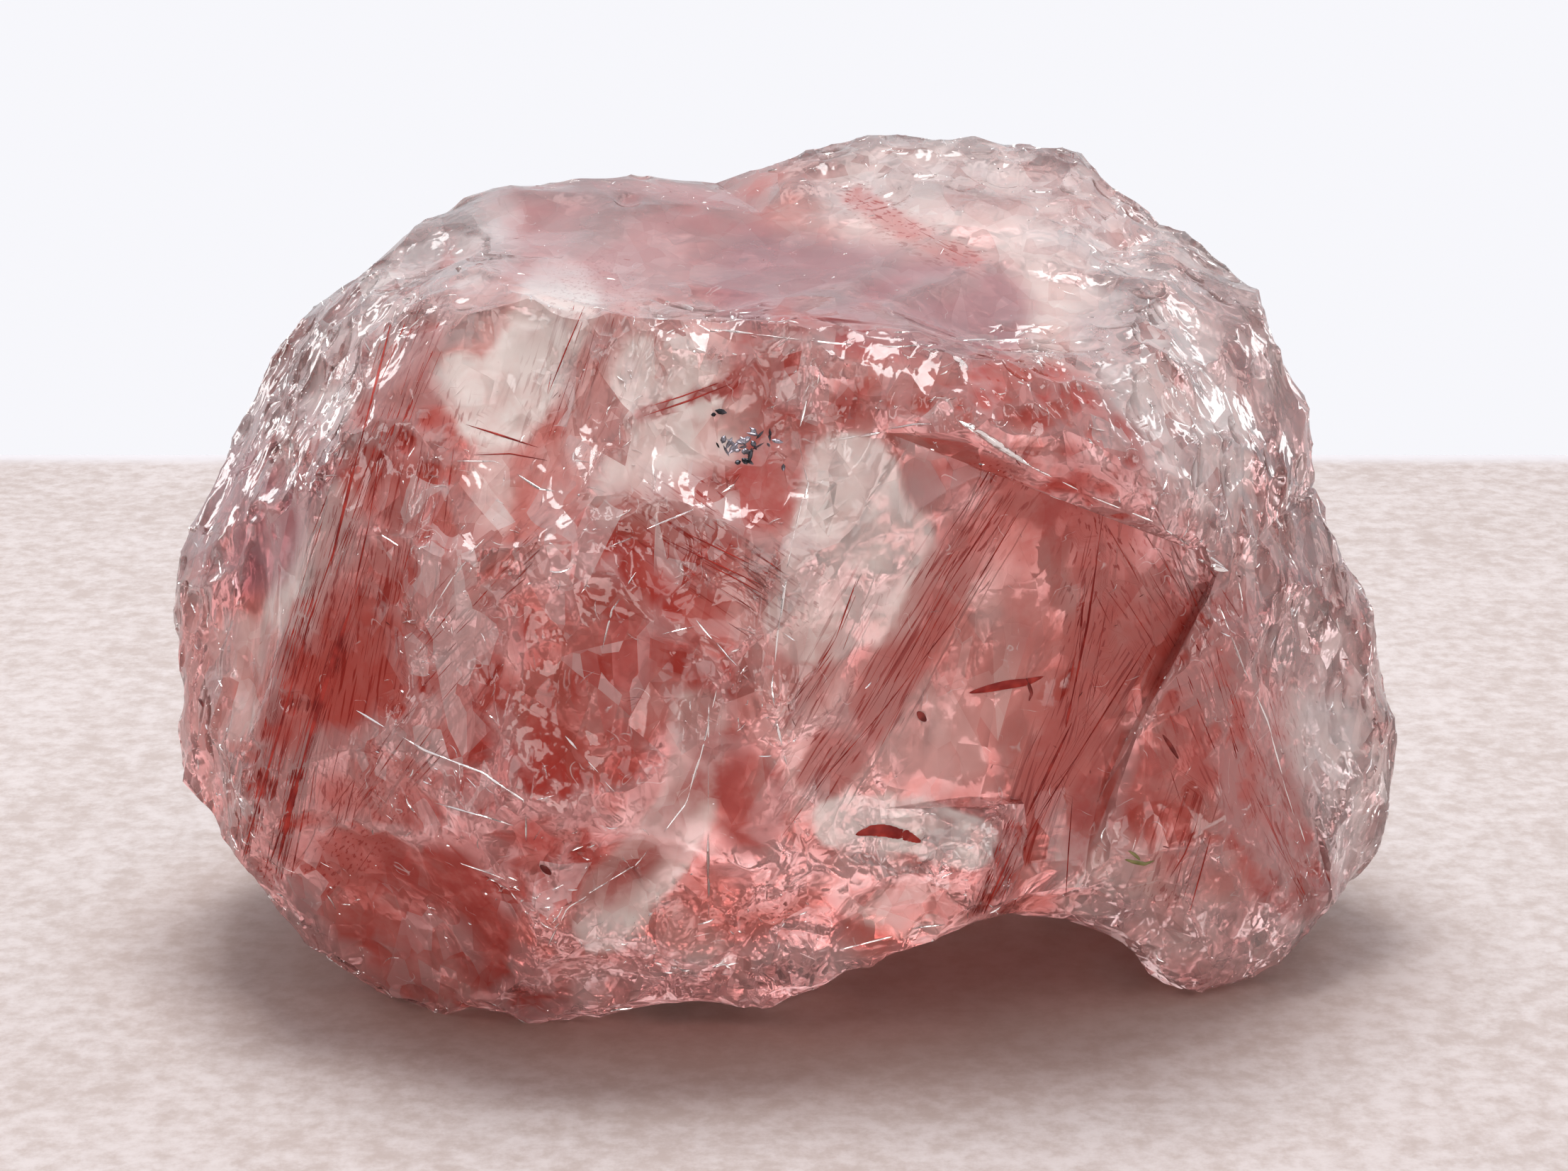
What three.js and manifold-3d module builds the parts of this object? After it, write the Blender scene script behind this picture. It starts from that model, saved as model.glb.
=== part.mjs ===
// Rough strawberry quartz: one broken lump of clear to milky quartz, about 52 mm long.
//
// The lump grew and broke as one piece, so it is one closed solid. It is built the way it
// broke: a few convex masses joined together, large shell-shaped fracture faces cut from
// them, then smaller and smaller chips along the edges. It rests on small worn flats.
//
// Millimetres, +Z up. The front faces -Y. The origin is at the bottom centre of the box.

import * as THREE from "three";
import { ConvexGeometry } from "three/addons/geometries/ConvexGeometry.js";
import { mergeVertices } from "three/addons/utils/BufferGeometryUtils.js";
import Module from "manifold-3d";

const wasm = await Module();
wasm.setup();

// ---- Driving dimensions -------------------------------------------------------------

const WIDTH = 52.3; // the lump's whole width: it is brought to this once it is broken to shape

const QUARTZ_COLOUR = 0xd9a19b;
const QUARTZ_ROUGHNESS = 0.22;

const REST_CUT = 0.3; // the depth worn off the lowest points, which gives the resting flats
const SCAR_FACET = 2.2; // the length of the facets on a large fracture face

// Chips: how many are tried, how wide their shells curve, how deep they bite, how far they
// lean aside, and the length of the facets on their dishes. A chip breaks off an edge: the
// surface within `reach` of it has to fall away by `fall` on average.
const CHIP_SETS = [
  { tries: 60, radius: [18, 40], depth: [0.3, 0.7], lean: 0.12, facet: 4, reach: 6, fall: 0.05 },
  { tries: 220, radius: [5.0, 12.0], depth: [0.5, 1.1], lean: 0.25, facet: 2.1, reach: 4, fall: 0.3 },
  { tries: 520, radius: [3.0, 7.0], depth: [0.3, 0.6], lean: 0.3, facet: 1.5, reach: 2.5, fall: 0.32 },
];
const CHIP_SEED = 106;
const CHIP_EXTRA_BITE = 0.45; // a chip that would bite this much deeper elsewhere is skipped

const ICOSAHEDRON_EDGE = 1.05; // the length of an icosahedron's edge over its radius
const SURFACE_SAMPLES = 4000; // points tested on the surface to place the chips
const WELD = 1e-4; // corners nearer than this are one corner
const FAR = 100; // beyond every side of the lump

// ---- The convex masses --------------------------------------------------------------
// Each mass is the hull of its corners. The words say which side of the lump they lie on.

const CORE = [
  // resting edge, front then back
  [-12.8, -10, 0], [-7.3, -11, 0], [-16.8, -8.4, 0.4], [-2, -10, 0.6], [1.8, -9, 0.6],
  [17.5, -6, 0], [15.5, -7.5, 0.8], [-8, 8, 0], [-15, 4, 1], [14, 6, 0], [4, 10, 1],
  // lower left flank
  [-20.8, -9.2, 3.4], [-22.8, -8, 5.6], [-25.2, -4, 7.8], [-25.5, 0, 11.6], [-26.1, 2, 15.1],
  [-24, 6, 6],
  // upper left flank
  [-24.6, 4, 18.3], [-22.5, 4, 21.1], [-21.6, 6, 24.3], [-18.9, 7, 26.8], [-16.6, 8, 28.9],
  // front, left half
  [-17.3, -9.5, 23.3], [-18.7, -12, 17.1], [-21, -11, 9.5], [-10.8, -14, 23.3],
  [-5.5, -15, 21.4], [-12.1, -17, 15.9], [-5.5, -17, 15.9], [-8.4, -15.5, 8],
  [-15.3, -13.5, 7.6], [-1.5, -15.8, 15.5], [-2.9, -14.5, 7],
  // front, right half
  [19.6, -6.5, 12.5], [21.6, -6, 6], [21.6, -5.5, 3], [17, -8.5, 18.7], [12, -10.5, 4],
  [6, -12, 5],
  // rim of the top
  [-16.5, -4, 27.8], [-11.2, -7, 29.6], [-7.5, -8.5, 29.6], [-2.9, -10.5, 28.6],
  [2, -11, 28.2], [6.8, -11, 28.3], [11.2, -9, 28.2], [13.7, -6, 28.4],
  // back
  [-14.5, 12, 29.3], [-11.4, 13, 30.3], [-8.7, 14, 30.3], [-3.3, 14, 29.8],
  [-20, 11, 20], [-16, 15.5, 14], [-4, 16.5, 20], [-10, 14, 5], [0, 16, 10],
  [12, 15, 12], [10, 13, 4], [18, 10, 20], [20, 6, 8],
];

// The arch between the two resting ends, which is cut away. Its roof falls towards the back.
const ARCH = [
  // mouth, at the front
  [0, -20, -1], [-0.5, -20, 1.1], [4, -20, 3.7], [8, -20, 5], [11, -20, 4.5], [14, -20, 3.2],
  [16.5, -20, 1.4], [17, -20, -1],
  [4, -11, 3.7], [8, -11, 5], [11, -11, 4.5], [14, -11, 3.2],
  // end, under the middle
  [2, 7, -1], [14, 7, -1], [6, 5, 1.2], [11, 5, 1.2],
];

// The wide shell on the right of the front, which the shelf above it overhangs.
const FRONT_SHELL = { at: [9.5, -11.8, 13], facing: [0.4, -0.9, 0.05], radius: 28, depth: 2.5 };

const MASSES = {
  shelf: [
    [2.5, -11, 28.2], [6.8, -11, 28.3], [11.2, -9, 28.2], [13.7, -6, 28.4],
    [1.6, -12.8, 26.2], [7.2, -14.3, 26], [9.4, -14, 24.8], [12.2, -13.2, 23.3],
    [15.2, -11.8, 21.4], [17.2, -10.4, 19.4], [3, -8, 25], [12, -4, 20], [18.6, -7.6, 22],
  ],
  peak: [
    [-3.3, 13.5, 29.8], [0.7, 14, 31.4], [4.5, 15, 32.1], [8.6, 16, 32.4], [12.1, 15, 32.1],
    [14.7, 13, 30.6], [16.5, 11, 28.8], [0, 3, 29.4], [3, -1, 29.2], [11.4, -2, 28.6],
    [-2, 15.5, 22], [8, 17, 22], [16, 14.5, 20], [6, 4, 18],
  ],
  shoulder: [
    [11.2, -8.5, 28], [13.7, -6, 28.4], [11, 3, 28.9], [18.5, 2, 28.6], [20.3, 2, 26.7],
    [21.6, 2, 24.6], [22.3, 2, 20.7], [17, -8.8, 18.6], [18, -7.5, 22], [16.5, 11, 28.7],
    [19.5, 9, 24], [19, 10.5, 18.5], [12, 0, 18], [19.5, -3, 17],
  ],
  lobe: [
    [17.4, -7.4, 19.2], [21.8, 0, 19.6], [24.2, 1, 16], [25.4, 0, 13.2], [26.4, 0, 8.2],
    [26, 0, 5.6], [25, 0, 2.7], [22, -3.6, 1.8], [18.9, -6.9, 14.5], [21.8, -5, 8.5],
    [22.4, -4.8, 4.5], [18.5, 11, 17], [23.5, 8, 10], [20, 9, 3], [14, 6, 10], [17, 2, 20.5],
  ],
  ledge: [
    [2, -13.4, 10.6], [9.3, -11.6, 10.1], [9.6, -12.6, 8.3], [2.6, -14.7, 9], [-0.2, -14.7, 9.2],
    [4, -13.2, 4], [8.1, -12.6, 5], [-0.2, -12.4, 2.4], [2, -8, 10.5], [9, -8, 9.5], [2, -8, 2],
    [8, -8, 5],
  ],
  foot: [
    [9, -8.5, 2.8], [15.5, -8, 1.0], [17.5, -6.5, 0], [20.6, -5.5, 1.2], [21.7, -5.5, 2.8],
    [22.1, -5.7, 4.5], [20, -6.5, 9], [17, -8.8, 19], [18.4, -7.7, 17.5],
    [19.2, -7.1, 14], [16, 0, 18], [16, 4, 0], [19, 3, 0.4],
    [12, 8, 1.5], [12, -10.5, 5], [18, -9, 5],
  ],
};

// ---- Large fracture faces ------------------------------------------------------------
// A shell scar is a dish cut by a sphere: its deepest point lies `depth` below `at`, and
// `facing` is the way that it looks out.

const FRACTURES = [
  // front, left half
  { name: "window below rim", at: [-11, -10.5, 26.2], facing: [-0.2, -0.75, 0.6], radius: 20, depth: 1.2 },
  { name: "notch, upper middle", at: [-3.1, -12.3, 25], facing: [0.25, -0.85, 0.45], radius: 8, depth: 1.1 },
  { name: "streak face", at: [-17.2, -11.8, 17.5], facing: [-0.6, -0.8, 0.2], radius: 30, depth: 1.1 },
  { name: "face left of middle", at: [-10, -15.9, 17.5], facing: [-0.1, -0.97, 0.2], radius: 16, depth: 1 },
  { name: "face at the middle", at: [-4, -15.8, 17], facing: [-0.3, -0.95, 0.1], radius: 11, depth: 1 },
  { name: "lower left face", at: [-15.2, -12.3, 7.3], facing: [-0.35, -0.8, -0.5], radius: 22, depth: 1.1 },
  { name: "lower middle face", at: [-5, -14.5, 7], facing: [0.1, -0.9, -0.4], radius: 15, depth: 1.2 },
  { name: "foot of the middle", at: [-5, -12.2, 2.5], facing: [0.15, -0.7, -0.7], radius: 12, depth: 0.8 },
  // front, right half
  { name: "below the ledge", at: [5, -12, 5.5], facing: [0.1, -0.9, -0.5], radius: 9, depth: 0.8 },
  { name: "shoulder face", at: [18, -4, 25.5], facing: [0.7, -0.5, 0.5], radius: 13, depth: 0.9 },
  { name: "lobe face", at: [22.5, -3.5, 12.5], facing: [0.65, -0.75, 0.15], radius: 14, depth: 0.9 },
  // left flank
  { name: "smooth flank", at: [-21.8, -6.2, 16.7], facing: [-0.76, -0.53, 0.3], radius: 24, depth: 0.9 },
  { name: "upper flank", at: [-20.2, -3, 24.2], facing: [-0.7, -0.4, 0.6], radius: 11, depth: 1 },
  { name: "lower flank", at: [-24, -3.5, 6.6], facing: [-0.75, -0.3, -0.6], radius: 16, depth: 0.9 },
  // top
  { name: "top dish", at: [-2, 3, 29.8], facing: [0, -0.15, 1], radius: 45, depth: 0.9 },
  { name: "top step", at: [6, -3, 28.9], facing: [0.3, -0.3, 1], radius: 14, depth: 0.6 },
  { name: "peak, back edge", at: [6, 16.3, 31.3], facing: [-0.1, 0.8, 0.65], radius: 18, depth: 1.3 },
  // back and underside
  { name: "back hollow", at: [4, 16.2, 15], facing: [0.15, 1, 0.05], radius: 20, depth: 1.8 },
  { name: "back left face", at: [-17, 12, 20], facing: [-0.6, 0.65, 0.4], radius: 18, depth: 1.2 },
  { name: "back lower left", at: [-14, 12, 8], facing: [-0.5, 0.75, -0.45], radius: 15, depth: 1.2 },
  { name: "back right face", at: [19.5, 10.5, 14], facing: [0.75, 0.65, 0], radius: 17, depth: 1.2 },
  { name: "underside dish", at: [-3, 0, 0], facing: [0, 0, -1], radius: 20, depth: 1.4 },
];

// ---- Helpers -------------------------------------------------------------------------

function solidOf(geometry) {
  const g = geometry.clone();
  g.deleteAttribute("normal");
  g.deleteAttribute("uv");
  const merged = mergeVertices(g, WELD);
  return new wasm.Manifold(
    new wasm.Mesh({
      numProp: 3,
      vertProperties: merged.attributes.position.array,
      triVerts: new Uint32Array(merged.index.array),
    }),
  );
}

function geometryOf(solid) {
  const mesh = solid.getMesh();
  const geometry = new THREE.BufferGeometry();
  geometry.setAttribute("position", new THREE.BufferAttribute(mesh.vertProperties, 3));
  geometry.setIndex(new THREE.BufferAttribute(mesh.triVerts, 1));
  return geometry;
}

// A repeatable random number from 0 to 1 (mulberry32).
function seeded(seed) {
  let state = seed;
  return () => {
    state = (state + 0x6d2b79f5) | 0;
    let t = Math.imul(state ^ (state >>> 15), 1 | state);
    t = (t + Math.imul(t ^ (t >>> 7), 61 | t)) ^ t;
    return ((t ^ (t >>> 14)) >>> 0) / 4294967296;
  };
}

function hullOf(corners) {
  return solidOf(new ConvexGeometry(corners.map((c) => new THREE.Vector3(...c))));
}

// The cutting ball of a shell scar, with facets of about `facet` mm, turned by `spin`.
function shellBall({ at, facing, radius, depth }, facet, spin = 0) {
  const detail = Math.max(2, Math.round((ICOSAHEDRON_EDGE * radius) / facet) - 1);
  const ball = new THREE.IcosahedronGeometry(radius, detail);
  ball.rotateX(spin);
  ball.rotateY(spin);
  const centre = ballCentre({ at, facing, radius, depth });
  ball.translate(...centre.toArray());
  return solidOf(ball);
}

function ballCentre({ at, facing, radius, depth }) {
  const out = new THREE.Vector3(...facing).normalize();
  return new THREE.Vector3(...at).addScaledVector(out, radius - depth);
}

function joined(solids) {
  return wasm.Manifold.union(solids);
}

// Points spread evenly over a solid's surface, each with its facet's normal.
function surfacePoints(solid, count, random) {
  const mesh = solid.getMesh();
  const corner = (i) => new THREE.Vector3().fromArray(mesh.vertProperties, i * mesh.numProp);
  const triangles = [];
  let total = 0;
  for (let i = 0; i < mesh.triVerts.length; i += 3) {
    const t = new THREE.Triangle(
      corner(mesh.triVerts[i]), corner(mesh.triVerts[i + 1]), corner(mesh.triVerts[i + 2]));
    total += t.getArea();
    triangles.push({ t, upTo: total });
  }
  return Array.from({ length: count }, () => {
    const pick = random() * total;
    const { t } = triangles.find((x) => x.upTo >= pick);
    let u = random();
    let v = random();
    if (u + v > 1) [u, v] = [1 - u, 1 - v];
    const at = t.a.clone()
      .addScaledVector(t.b.clone().sub(t.a), u)
      .addScaledVector(t.c.clone().sub(t.a), v);
    return { at, normal: t.getNormal(new THREE.Vector3()) };
  });
}

const between = ([low, high], share) => low + (high - low) * share;

// Chips along a solid's edges, leaving out those that would bite deeper elsewhere.
function chips(solid, { tries, radius, depth, lean, facet, reach, fall }, random) {
  const samples = surfacePoints(solid, SURFACE_SAMPLES, random);
  const found = [];
  for (const { at, normal } of surfacePoints(solid, tries, random)) {
    const near = samples.filter((s) => s.at.distanceTo(at) < reach);
    const fallen = near.reduce((sum, s) => sum + s.at.clone().sub(at).dot(normal), 0);
    const facing = near.reduce((sum, s) => sum.add(s.normal), normal.clone()).normalize();
    facing.x += lean * (random() - 0.5);
    facing.y += lean * (random() - 0.5);
    facing.z += lean * (random() - 0.5);
    const chip = {
      at: at.toArray(),
      facing: facing.toArray(),
      radius: between(radius, random()),
      depth: between(depth, random()),
    };
    const centre = ballCentre(chip);
    const deepest = Math.max(...samples.map((s) => chip.radius - s.at.distanceTo(centre)));
    const onEdge = fallen < -fall * near.length;
    if (onEdge && deepest < chip.depth + CHIP_EXTRA_BITE) found.push(chip);
  }
  return found.map((chip) => shellBall(chip, facet, random() * Math.PI));
}

// ---- The lump ------------------------------------------------------------------------

const scars = FRACTURES.map((scar) => shellBall(scar, SCAR_FACET));
let quartz = hullOf(CORE).subtract(shellBall(FRONT_SHELL, SCAR_FACET));
quartz = joined([quartz, ...Object.values(MASSES).map(hullOf)]);
quartz = quartz.subtract(joined([hullOf(ARCH), ...scars]));

const random = seeded(CHIP_SEED);
for (const set of CHIP_SETS) quartz = quartz.subtract(joined(chips(quartz, set, random)));

const wornOff = new THREE.BoxGeometry(2 * FAR, 2 * FAR, FAR);
wornOff.translate(0, 0, quartz.boundingBox().min[2] + REST_CUT - FAR / 2);
quartz = quartz.subtract(solidOf(wornOff));

const pieces = quartz.decompose().sort((a, b) => b.volume() - a.volume());
const geometry = geometryOf(pieces[0]);
geometry.computeBoundingBox();
const size = geometry.boundingBox.getSize(new THREE.Vector3());
const middle = geometry.boundingBox.getCenter(new THREE.Vector3());
geometry.translate(-middle.x, -middle.y, -geometry.boundingBox.min.z);
geometry.scale(WIDTH / size.x, WIDTH / size.x, WIDTH / size.x);

const stone = new THREE.Mesh(
  geometry,
  new THREE.MeshStandardMaterial({
    color: QUARTZ_COLOUR, roughness: QUARTZ_ROUGHNESS, metalness: 0, flatShading: true }),
);
stone.name = "quartz";

const part = new THREE.Group();
part.add(stone);

export default part;
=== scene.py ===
"""Rough strawberry quartz: one broken lump of clear to pink crystal with red needles sealed inside it.

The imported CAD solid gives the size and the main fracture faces. This script breaks its surface up
further, colours it zone by zone and fills it with inclusions. Everything is in metres, +Z up, and the
front faces -Y.
"""

import math

import bmesh
import bpy
import numpy as np
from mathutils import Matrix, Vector, noise
from mathutils.bvhtree import BVHTree


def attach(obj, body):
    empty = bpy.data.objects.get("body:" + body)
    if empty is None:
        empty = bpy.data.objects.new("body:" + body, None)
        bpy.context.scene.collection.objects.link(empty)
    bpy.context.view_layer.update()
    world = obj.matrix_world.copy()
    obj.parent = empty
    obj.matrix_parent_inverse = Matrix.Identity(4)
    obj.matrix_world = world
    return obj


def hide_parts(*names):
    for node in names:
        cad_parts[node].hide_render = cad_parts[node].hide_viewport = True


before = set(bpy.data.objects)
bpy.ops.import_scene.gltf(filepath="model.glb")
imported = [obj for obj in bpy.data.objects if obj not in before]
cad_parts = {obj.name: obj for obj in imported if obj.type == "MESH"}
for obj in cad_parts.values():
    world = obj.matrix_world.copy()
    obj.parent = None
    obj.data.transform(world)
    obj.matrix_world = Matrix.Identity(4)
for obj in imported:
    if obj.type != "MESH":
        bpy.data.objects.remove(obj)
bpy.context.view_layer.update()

MM = 0.001

# ---------------------------------------------------------------------------------------------
# View
# ---------------------------------------------------------------------------------------------
FRAME_WIDTH, FRAME_HEIGHT = 2213, 1652
VIEW_ANGLE = math.radians(24.0)
VIEW_ELEVATION = math.radians(17.0)
VIEW_DISTANCE = 154.0 * MM
VIEW_AIM = np.array([0.0, 0.0, 15.5 * MM])
SENSOR_WIDTH = 36.0
CLIP_NEAR, CLIP_FAR = 0.005, 20.0
FOCAL = FRAME_WIDTH / 2 / math.tan(VIEW_ANGLE / 2)
# Millimetres that a pixel of the frame covers at the stone.
PIXEL = VIEW_DISTANCE / MM / FOCAL

AHEAD = np.array([0.0, math.cos(VIEW_ELEVATION), -math.sin(VIEW_ELEVATION)])
UPWARD = np.array([0.0, math.sin(VIEW_ELEVATION), math.cos(VIEW_ELEVATION)])
ACROSS = np.array([1.0, 0.0, 0.0])
EYE = VIEW_AIM - AHEAD * VIEW_DISTANCE


def to_frame(points):
    """Places in the camera's frame, in pixels from its top left corner, for points in metres."""
    d = points - EYE
    depth = d @ AHEAD
    x = FRAME_WIDTH / 2 + FOCAL * (d @ ACROSS) / depth
    y = FRAME_HEIGHT / 2 - FOCAL * (d @ UPWARD) / depth
    return np.stack([x, y], axis=1)


def ray_to(x, y):
    """Direction from the eye through one place in the frame."""
    d = AHEAD + ACROSS * (x - FRAME_WIDTH / 2) / FOCAL - UPWARD * (y - FRAME_HEIGHT / 2) / FOCAL
    return d / np.linalg.norm(d)


def add_camera():
    data = bpy.data.cameras.new("camera")
    data.sensor_width = SENSOR_WIDTH
    data.lens = SENSOR_WIDTH / 2 / math.tan(VIEW_ANGLE / 2)
    data.clip_start, data.clip_end = CLIP_NEAR, CLIP_FAR
    camera = bpy.data.objects.new("camera", data)
    bpy.context.scene.collection.objects.link(camera)
    camera.location = Vector(EYE)
    camera.rotation_mode = "QUATERNION"
    camera.rotation_quaternion = Vector(AHEAD).to_track_quat("-Z", "Y")
    bpy.context.scene.camera = camera


# ---------------------------------------------------------------------------------------------
# Mesh helpers
# ---------------------------------------------------------------------------------------------
def arrays(mesh):
    """Vertices (n, 3) and triangles (m, 3) of a mesh."""
    v = np.empty(len(mesh.vertices) * 3, np.float32)
    mesh.vertices.foreach_get("co", v)
    mesh.calc_loop_triangles()
    t = np.empty(len(mesh.loop_triangles) * 3, np.int32)
    mesh.loop_triangles.foreach_get("vertices", t)
    return v.reshape(-1, 3).astype(float), t.reshape(-1, 3)


def new_object(name, vertices, faces):
    mesh = bpy.data.meshes.new(name)
    mesh.from_pydata([tuple(v) for v in vertices], [], [tuple(f) for f in faces])
    mesh.validate()
    obj = bpy.data.objects.new(name, mesh)
    bpy.context.scene.collection.objects.link(obj)
    return obj


def with_modifier(obj, kind, **settings):
    """The object's mesh after one modifier, written back to the object."""
    modifier = obj.modifiers.new("step", kind)
    for key, value in settings.items():
        setattr(modifier, key, value)
    shaped = bpy.data.meshes.new_from_object(obj.evaluated_get(bpy.context.evaluated_depsgraph_get()))
    obj.modifiers.clear()
    obj.data = shaped


def vertex_normals(v, t):
    corner = v[t]
    face = np.cross(corner[:, 1] - corner[:, 0], corner[:, 2] - corner[:, 0])
    total = np.stack(
        [sum(np.bincount(t[:, c], face[:, k], len(v)) for c in range(3)) for k in range(3)], axis=1
    )
    return total / np.maximum(np.linalg.norm(total, axis=1, keepdims=True), 1e-20)


def relaxed(values, t, count, rounds):
    """Values per vertex averaged with their neighbours, a number of rounds over."""
    a = np.concatenate([t[:, 0], t[:, 1], t[:, 2]])
    b = np.concatenate([t[:, 1], t[:, 2], t[:, 0]])
    share = np.bincount(a, minlength=count) + 1.0
    for _ in range(rounds):
        columns = [(x + np.bincount(a, x[b], count)) / share for x in values.T]
        values = np.stack(columns, axis=1)
    return values


def crest(v, t, rounds):
    """How far each vertex stands out of the surface round it, in metres: positive on ridges."""
    n = vertex_normals(v, t)
    return np.einsum("ij,ij->i", v - relaxed(v, t, len(v), rounds), n)


def ramp(values, low, high):
    k = np.clip((values - low) / (high - low), 0, 1)
    return k * k * (3 - 2 * k)


def along(points, places):
    """Distance in pixels from each point to a line through the places."""
    best = np.full(len(points), 1e9)
    places = np.array(places, float)
    for a, b in zip(places[:-1], places[1:]):
        d = b - a
        k = np.clip(((points - a) @ d) / (d @ d), 0, 1)
        best = np.minimum(best, np.linalg.norm(points - a - k[:, None] * d, axis=1))
    return best


def painted(seen, strokes):
    """How strongly the strokes cover each point, from 0 to 1."""
    left = np.ones(len(seen))
    for strength, half, soft, places in strokes.values():
        k = np.clip(1 - (along(seen, places) - half) / soft, 0, 1)
        left *= 1 - strength * k * k * (3 - 2 * k)
    return 1 - left


def facing(n):
    """How much surfaces with the normals n face the camera, from 0 to 1."""
    return ramp(-(n @ AHEAD), -0.10, 0.25)


def closed(start, rings, end):
    """Closed surface over rings of points between two end points."""
    size = len(rings[0])
    j = np.arange(size)
    j2 = (j + 1) % size
    faces = [np.stack([0 * j, 1 + j2, 1 + j], 1)]
    for k in range(len(rings) - 1):
        a, b = 1 + size * k, 1 + size * (k + 1)
        faces += [np.stack([a + j, a + j2, b + j], 1), np.stack([a + j2, b + j2, b + j], 1)]
    last = 1 + size * (len(rings) - 1)
    faces.append(np.stack([last + j, last + j2, 0 * j + last + size], 1))
    return np.concatenate([start[None], *rings, end[None]]), np.concatenate(faces)


# ---------------------------------------------------------------------------------------------
# Stone surface
# ---------------------------------------------------------------------------------------------
SCAR_SEED = 11
PROXY_VOXEL = 0.42 * MM
# Shell-shaped scars by size, largest first: how many, ball radius and bite in mm, how far their axes
# lean from the surface normal, and where they are: on calm faces, ridges, or the shattered zones.
SCAR_SETS = [
    {"count": 34, "radius": (18, 50), "bite": (0.12, 0.28), "lean": 0.03, "where": "calm"},
    {"count": 90, "radius": (6.0, 18.0), "bite": (0.15, 0.42), "lean": 0.20, "where": "ridge"},
    {"count": 330, "radius": (3.0, 9.0), "bite": (0.10, 0.28), "lean": 0.30, "where": "ridge"},
    {"count": 260, "radius": (3.0, 11.0), "bite": (0.12, 0.34), "lean": 0.30, "where": "shattered"},
    {"count": 900, "radius": (1.4, 4.5), "bite": (0.04, 0.13), "lean": 0.35, "where": "ridge"},
    {"count": 600, "radius": (1.2, 4.5), "bite": (0.05, 0.16), "lean": 0.35, "where": "shattered"},
]
# Wide breaks behind: the place and axis they are cut along, and their radius and depth in mm.
BACK_SCARS = [
    ((15.2, 14.3, 21.5), (0.55, 0.80, -0.25), 9.0, 2.4),
    ((10.5, 15.3, 21.5), (0.35, 0.85, -0.40), 13.0, 1.7),
    ((21.0, 6.4, 19.5), (0.80, 0.60, -0.10), 10.0, 1.1),
    ((20.3, 9.1, 7.0), (0.45, 0.88, -0.10), 9.0, 1.8),
]
# Quartz that fills the narrow gap between the blocks behind: its middle, half sizes and turn.
FILL = ((14.0, 6.3, 24.0), (3.2, 5.0, 6.0), math.radians(150.0))
BACK_CHIPS = {"where": "back", "count": 90, "radius": (1.5, 5.0), "bite": (0.15, 0.6), "lean": 0.3}
# Chips behind stay this near to the wide breaks.
BACK_REACH = 9.0
# Zones of the front broken into many small faces, as strokes in the frame like the colour zones.
SHATTERED_STROKES = {
    "upper left": (1.0, 60, 30, [(400, 620), (440, 520), (520, 430)]),
    "left flank": (0.7, 30, 30, [(290, 760), (300, 950), (340, 1150)]),
    "middle left": (0.9, 80, 40, [(640, 720), (640, 850), (700, 1000), (600, 1080)]),
    "middle": (0.8, 60, 40, [(800, 760), (840, 900), (820, 1080)]),
    "white corner": (1.0, 60, 30, [(840, 560), (900, 680), (1000, 760)]),
    "below the rim": (1.0, 40, 30, [(960, 470), (1100, 520), (1300, 540), (1450, 520), (1560, 600)]),
    "right block": (0.9, 70, 40, [(1620, 500), (1700, 620), (1740, 760)]),
    "ridge": (0.9, 30, 20, [(1150, 620), (1120, 760), (1080, 960), (1000, 1020)]),
    "low middle": (0.9, 50, 40, [(760, 1230), (900, 1300), (1100, 1330)]),
    "ledge": (1.0, 36, 20, [(1160, 1150), (1300, 1180), (1380, 1240)]),
    "lower left": (0.6, 60, 40, [(420, 1280), (600, 1360)]),
    "lobe": (0.7, 60, 40, [(1850, 760), (1930, 1000), (1900, 1250)]),
    "peak": (0.6, 50, 40, [(1150, 230), (1350, 200), (1560, 290), (1740, 420)]),
}
BALL_FACET = math.radians(6.5)
WIDEST_LENS = math.radians(80.0)
CUT_TRIANGLES = 118_000
LONGEST_EDGE = 0.90 * MM
SHARP_ANGLE = math.radians(13.0)
PATCH_ANGLE = math.radians(9.0)


def turned_to(axis, spin):
    """Frame whose third column is an axis, turned about it by an angle."""
    side = np.cross(axis, [1.0, 0, 0] if abs(axis[0]) < 0.8 else [0, 1.0, 0])
    side /= np.linalg.norm(side)
    other = np.cross(axis, side)
    c, s = math.cos(spin), math.sin(spin)
    return np.stack([side * c + other * s, other * c - side * s, axis], axis=1)


def lens(centre, turn, scale, radius, span):
    """Closed cutter: the part of a stretched ball within an angle of its axis, closed by a flat fan."""
    rings = max(4, round(span / BALL_FACET))
    around = round(2 * math.pi * math.sin(min(span, 1.57)) / (BALL_FACET * 1.5))
    around = max(10, min(36, around))
    rows = []
    for k in range(1, rings + 1):
        a = span * k / rings
        angle = (np.arange(around) + 0.5 * k) * 2 * math.pi / around
        x, y = math.sin(a) * np.cos(angle), math.sin(a) * np.sin(angle)
        rows.append(radius * np.stack([x, y, np.full(around, -math.cos(a))], 1))
    first = np.array([0, 0, -radius])
    last = np.array([0, 0, -radius * math.cos(span)])
    local, faces = closed(first, rows, last)
    return centre + (local * scale) @ turn.T, faces


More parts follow.
